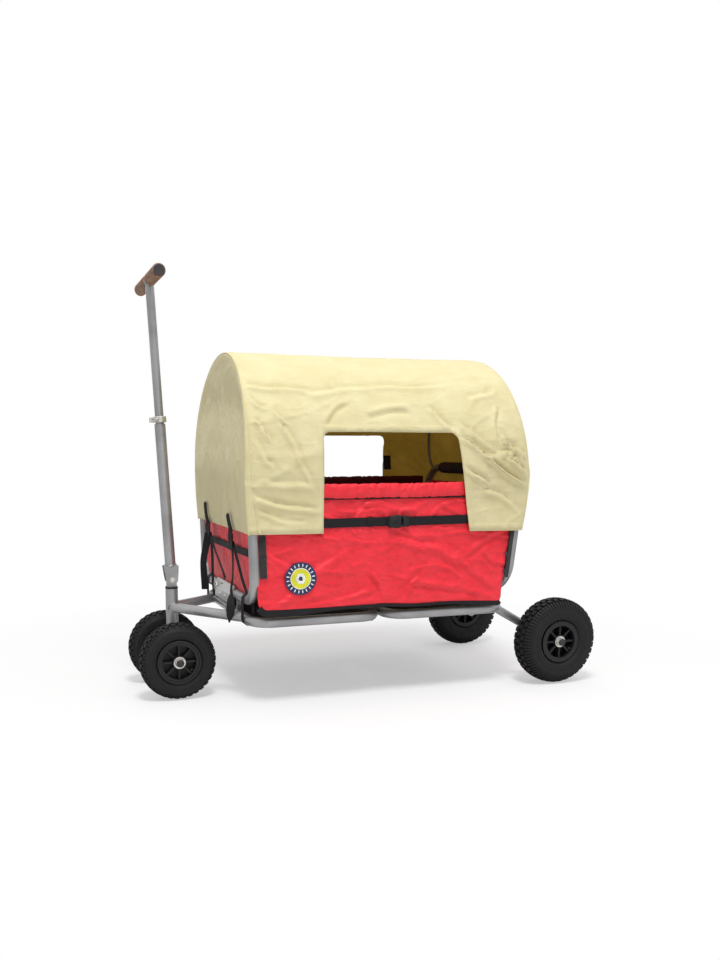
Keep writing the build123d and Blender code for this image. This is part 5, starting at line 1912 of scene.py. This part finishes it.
lever.add(lathe(clampParts["pivot"], pivotPlace, (0, 1, 0), 24))
clamp = clamp.build("clampBand", [zinc])
lever = lever.build("clampHandle", [zinc])
ride(clamp, "handle_lower", "zinc_steel", "telescope_clamp")
ride(lever, "handle_lower", "zinc_steel", "clamp_lever")

# the latch on the front cross tube: a bent plate with slots, a hook and bolts, all placed in mm
latchParts = {
    "slots": [(-60, 300, 26, 5), (-28, 306, 14, 4), (48, 300, 30, 5)], "slotBack": 5.4 * mm,
    "hook": [(418, -84, 282), (421, -78, 300), (419, -66, 306), (418, -56, 296)], "hookRadius": 2.2 * mm,
    "bolts": [(22, 276), (72, 276), (-30, 276)], "bolt": [(0, 0), (5, 0), (4.4, 1.8), (2.6, 2.8), (0, 3.0)],
}
latch = Shape()
faceX = float(box("latch_plate")[1][0])
for y, z, length, width in latchParts["slots"]:
    place = (faceX - latchParts["slotBack"], y * mm, z * mm)
    latch.add(slab(place, (0, 1, 0), (1, 0, 0.28), length * mm, width * mm, 1.2 * mm, 0.4 * mm), 1)
hook = smoothLine(np.array(latchParts["hook"]) * mm, 2 * mm)
latch.add(swept(hook, roundSection(latchParts["hookRadius"], 8), (1, 0, 0)))
for y, z in latchParts["bolts"]:
    latch.add(lathe(latchParts["bolt"], (faceX - 0.2 * mm, y * mm, z * mm), (1, 0, 0), 20))
latch = latch.build("latchDetails", [latchZinc, darkPlug])
ride(latch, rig.body_of(frame["nodes"]["latch_plate"])[0], "zinc_steel")

# grips with rounded ends and dark end plugs
grips = {
    "round": 4 * mm, "bore": 11.4 * mm, "wave": 0.3 * mm, "sunk": 0.35 * mm, "straight": 10 * mm,
    # radius and how far past the grip's end, in mm
    "plug": [(0, -4), (15, -4), (15, 0.4), (13.6, 1.4), (11, 1.0), (0, 0.8)],
}
low, high = box("grip_sleeves")
gripAt, outer = (low + high) / 2, (high[2] - low[2]) / 2
sleeves, plugs = Shape(), Shape()
sleeveY = np.array([abs(v.co.y) for v in frame["nodes"]["grip_sleeves"].data.vertices])
inner, reach = float(sleeveY.min()), float(sleeveY.max())
bend = grips["round"]
quarter = np.linspace(0, 1, 7) * math.pi / 2
for way in (-1, 1):
    profile = [(grips["bore"], inner)]
    for turn in quarter:
        profile.append((outer - bend + bend * math.sin(turn), inner + bend - bend * math.cos(turn)))
    for y in np.linspace(inner + grips["straight"], reach - grips["straight"], 30):
        profile.append((outer - grips["sunk"] + grips["wave"] * math.sin(y * 260), y))
    for turn in quarter:
        profile.append((outer - bend + bend * math.cos(turn), reach - bend + bend * math.sin(turn)))
    profile.append((grips["bore"], reach))
    sleeves.add(turned(profile, (gripAt[0], 0, gripAt[2]), (0, way, 0), 44, closed=True))
    plug = [(radius * mm, high[1] + past * mm) for radius, past in grips["plug"]]
    plugs.add(turned(plug, (gripAt[0], 0, gripAt[2]), (0, way, 0), 40))
sleeves = sleeves.build("gripSleeves", [grip])
plugs = plugs.build("gripPlugs", [darkPlug])
ride(sleeves, "handle_upper", "brown_grip", "grip_sleeves")
ride(plugs, "handle_upper", "black_plastic", "grip_caps")
stage("welds and metal details")


finishes = [
    (
        ("hoop_", "bow_", "base_loop", "drawbar", "head_tube", "middle_hinge", "rear_wheel", "steering",
         "axle_beam", "handle_clevis", "pull_tube", "grip_crossbar"),
        tubeGrey,
    ),
    (
        ("hoop_hinge_pins", "middle_hinge_pins", "rear_stub", "rear_axle_nuts", "front_axle", "tilt_bolt",
         "telescope_clamp", "clamp_lever"),
        zinc,
    ),
    (("latch_plate",), latchZinc),
    (("rim_", "thrust_ring", "strap_buckle"), blackPlastic),
    (("grip_caps",), darkPlug),
    (("floor_panel",), floorCloth),
    (("push_bar_foam",), foam),
    (("grip_sleeves",), grip),
    (("side_strap",), webbing),
    (("side_panel", "end_panel"), redCloth),
]
for name, node in frame["nodes"].items():
    for starts, paint in finishes:
        if name.startswith(starts):
            node.data.materials.clear()
            node.data.materials.append(paint)
stage("finishes")


studio = {
    "floor": tint(246, 246, 246), "reach": 30, "fade": (0.6, 1.6), "world": 0.36,
    "key": (0.7, 1.9, 4.6), "keySize": 1.1, "keyPower": 146,
    "top": (-0.4, 0.2, 4.2), "topSize": 5.0, "topPower": 62,
    "fill": (0.2, 4.4, 1.3), "fillSize": 3.0, "fillPower": 9,
}


def floorPaint():
    # pale paper that keeps the shadow near the wagon and runs out to white behind it
    p = Paint("studioFloor")
    far = p.node("ShaderNodeVectorMath", {"operation": "LENGTH"}, {0: p.position()}, "Value")
    rays = p.node("ShaderNodeLightPath", out="Is Camera Ray")
    paper = p.node("ShaderNodeBsdfDiffuse", {}, {"Color": (*studio["floor"], 1)})
    white = p.node("ShaderNodeEmission", {}, {"Color": (1, 1, 1, 1), "Strength": 1.0})
    start, end = studio["fade"]
    share = p.ramp((far - start) / (end - start), [(0.0, 0.45), (1.0, 1.0)]) * rays
    shown = p.node("ShaderNodeMixShader", {}, {0: share, 1: paper, 2: white})
    p.node("ShaderNodeOutputMaterial", {}, {0: shown})
    return p.material


def lamp(name, place, size, power):
    light = bpy.data.lights.new(name, "AREA")
    light.size, light.energy = size, power
    holder = bpy.data.objects.new(name, light)
    holder.location = place
    holder.rotation_mode = "QUATERNION"
    holder.rotation_quaternion = (Vector((0, 0, 0.45)) - Vector(place)).to_track_quat("-Z", "Y")
    scene.collection.objects.link(holder)


def studioWorld():
    # a white backdrop to the eye, and a softer level for the light on the wagon
    world = bpy.data.worlds.new("studio")
    world.use_nodes = True
    scene.world = world
    p = Paint("studio", world.node_tree)
    seen = p.node("ShaderNodeLightPath", out="Is Camera Ray")
    shine = p.node("ShaderNodeLightPath", out="Is Glossy Ray")
    through = p.node("ShaderNodeLightPath", out="Is Transmission Ray")
    level = (seen + shine + through).clip() * (1 - studio["world"]) + studio["world"]
    light = p.node("ShaderNodeBackground", {}, {"Color": (1, 1, 1, 1), "Strength": level})
    p.node("ShaderNodeOutputWorld", {}, {0: light})


corners = [(x * studio["reach"], y * studio["reach"], 0) for x, y in ((-1, -1), (1, -1), (1, 1), (-1, 1))]
floorMesh = bpy.data.meshes.new("studioFloor")
floorMesh.from_pydata(corners, [], [(0, 1, 2, 3)])
floorMesh.materials.append(floorPaint())
ground = bpy.data.objects.new("studioFloor", floorMesh)
ground.location.z = cadBox[0][2] - 0.2 * mm
scene.collection.objects.link(ground)
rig.stage(ground)
studioWorld()
for name in ("key", "top", "fill"):
    lamp(name + "Light", studio[name], studio[name + "Size"], studio[name + "Power"])

view = {
    "place": (1.0436, 2.4702, 0.7060), "yaw": -0.318, "pitch": -0.157,
    "lens": 32.39, "shift": (0.0818, 0.1099),
}
level = math.cos(view["pitch"])
ahead = Vector((
    math.sin(view["yaw"]) * level, -math.cos(view["yaw"]) * level, math.sin(view["pitch"]),
))
camera = bpy.data.objects.new("camera", bpy.data.cameras.new("camera"))
camera.data.lens, camera.data.sensor_width = view["lens"], 36
camera.data.shift_x, camera.data.shift_y = view["shift"]
camera.location = view["place"]
camera.rotation_mode = "QUATERNION"
camera.rotation_quaternion = ahead.to_track_quat("-Z", "Y")
scene.collection.objects.link(camera)
scene.camera = camera
scene.view_settings.view_transform = "Standard"
stage("studio")

with open("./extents.json", "w") as file:
    json.dump({"cad": [list(c) for c in cadBox], "visual": [list(c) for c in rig.bounds()]}, file)
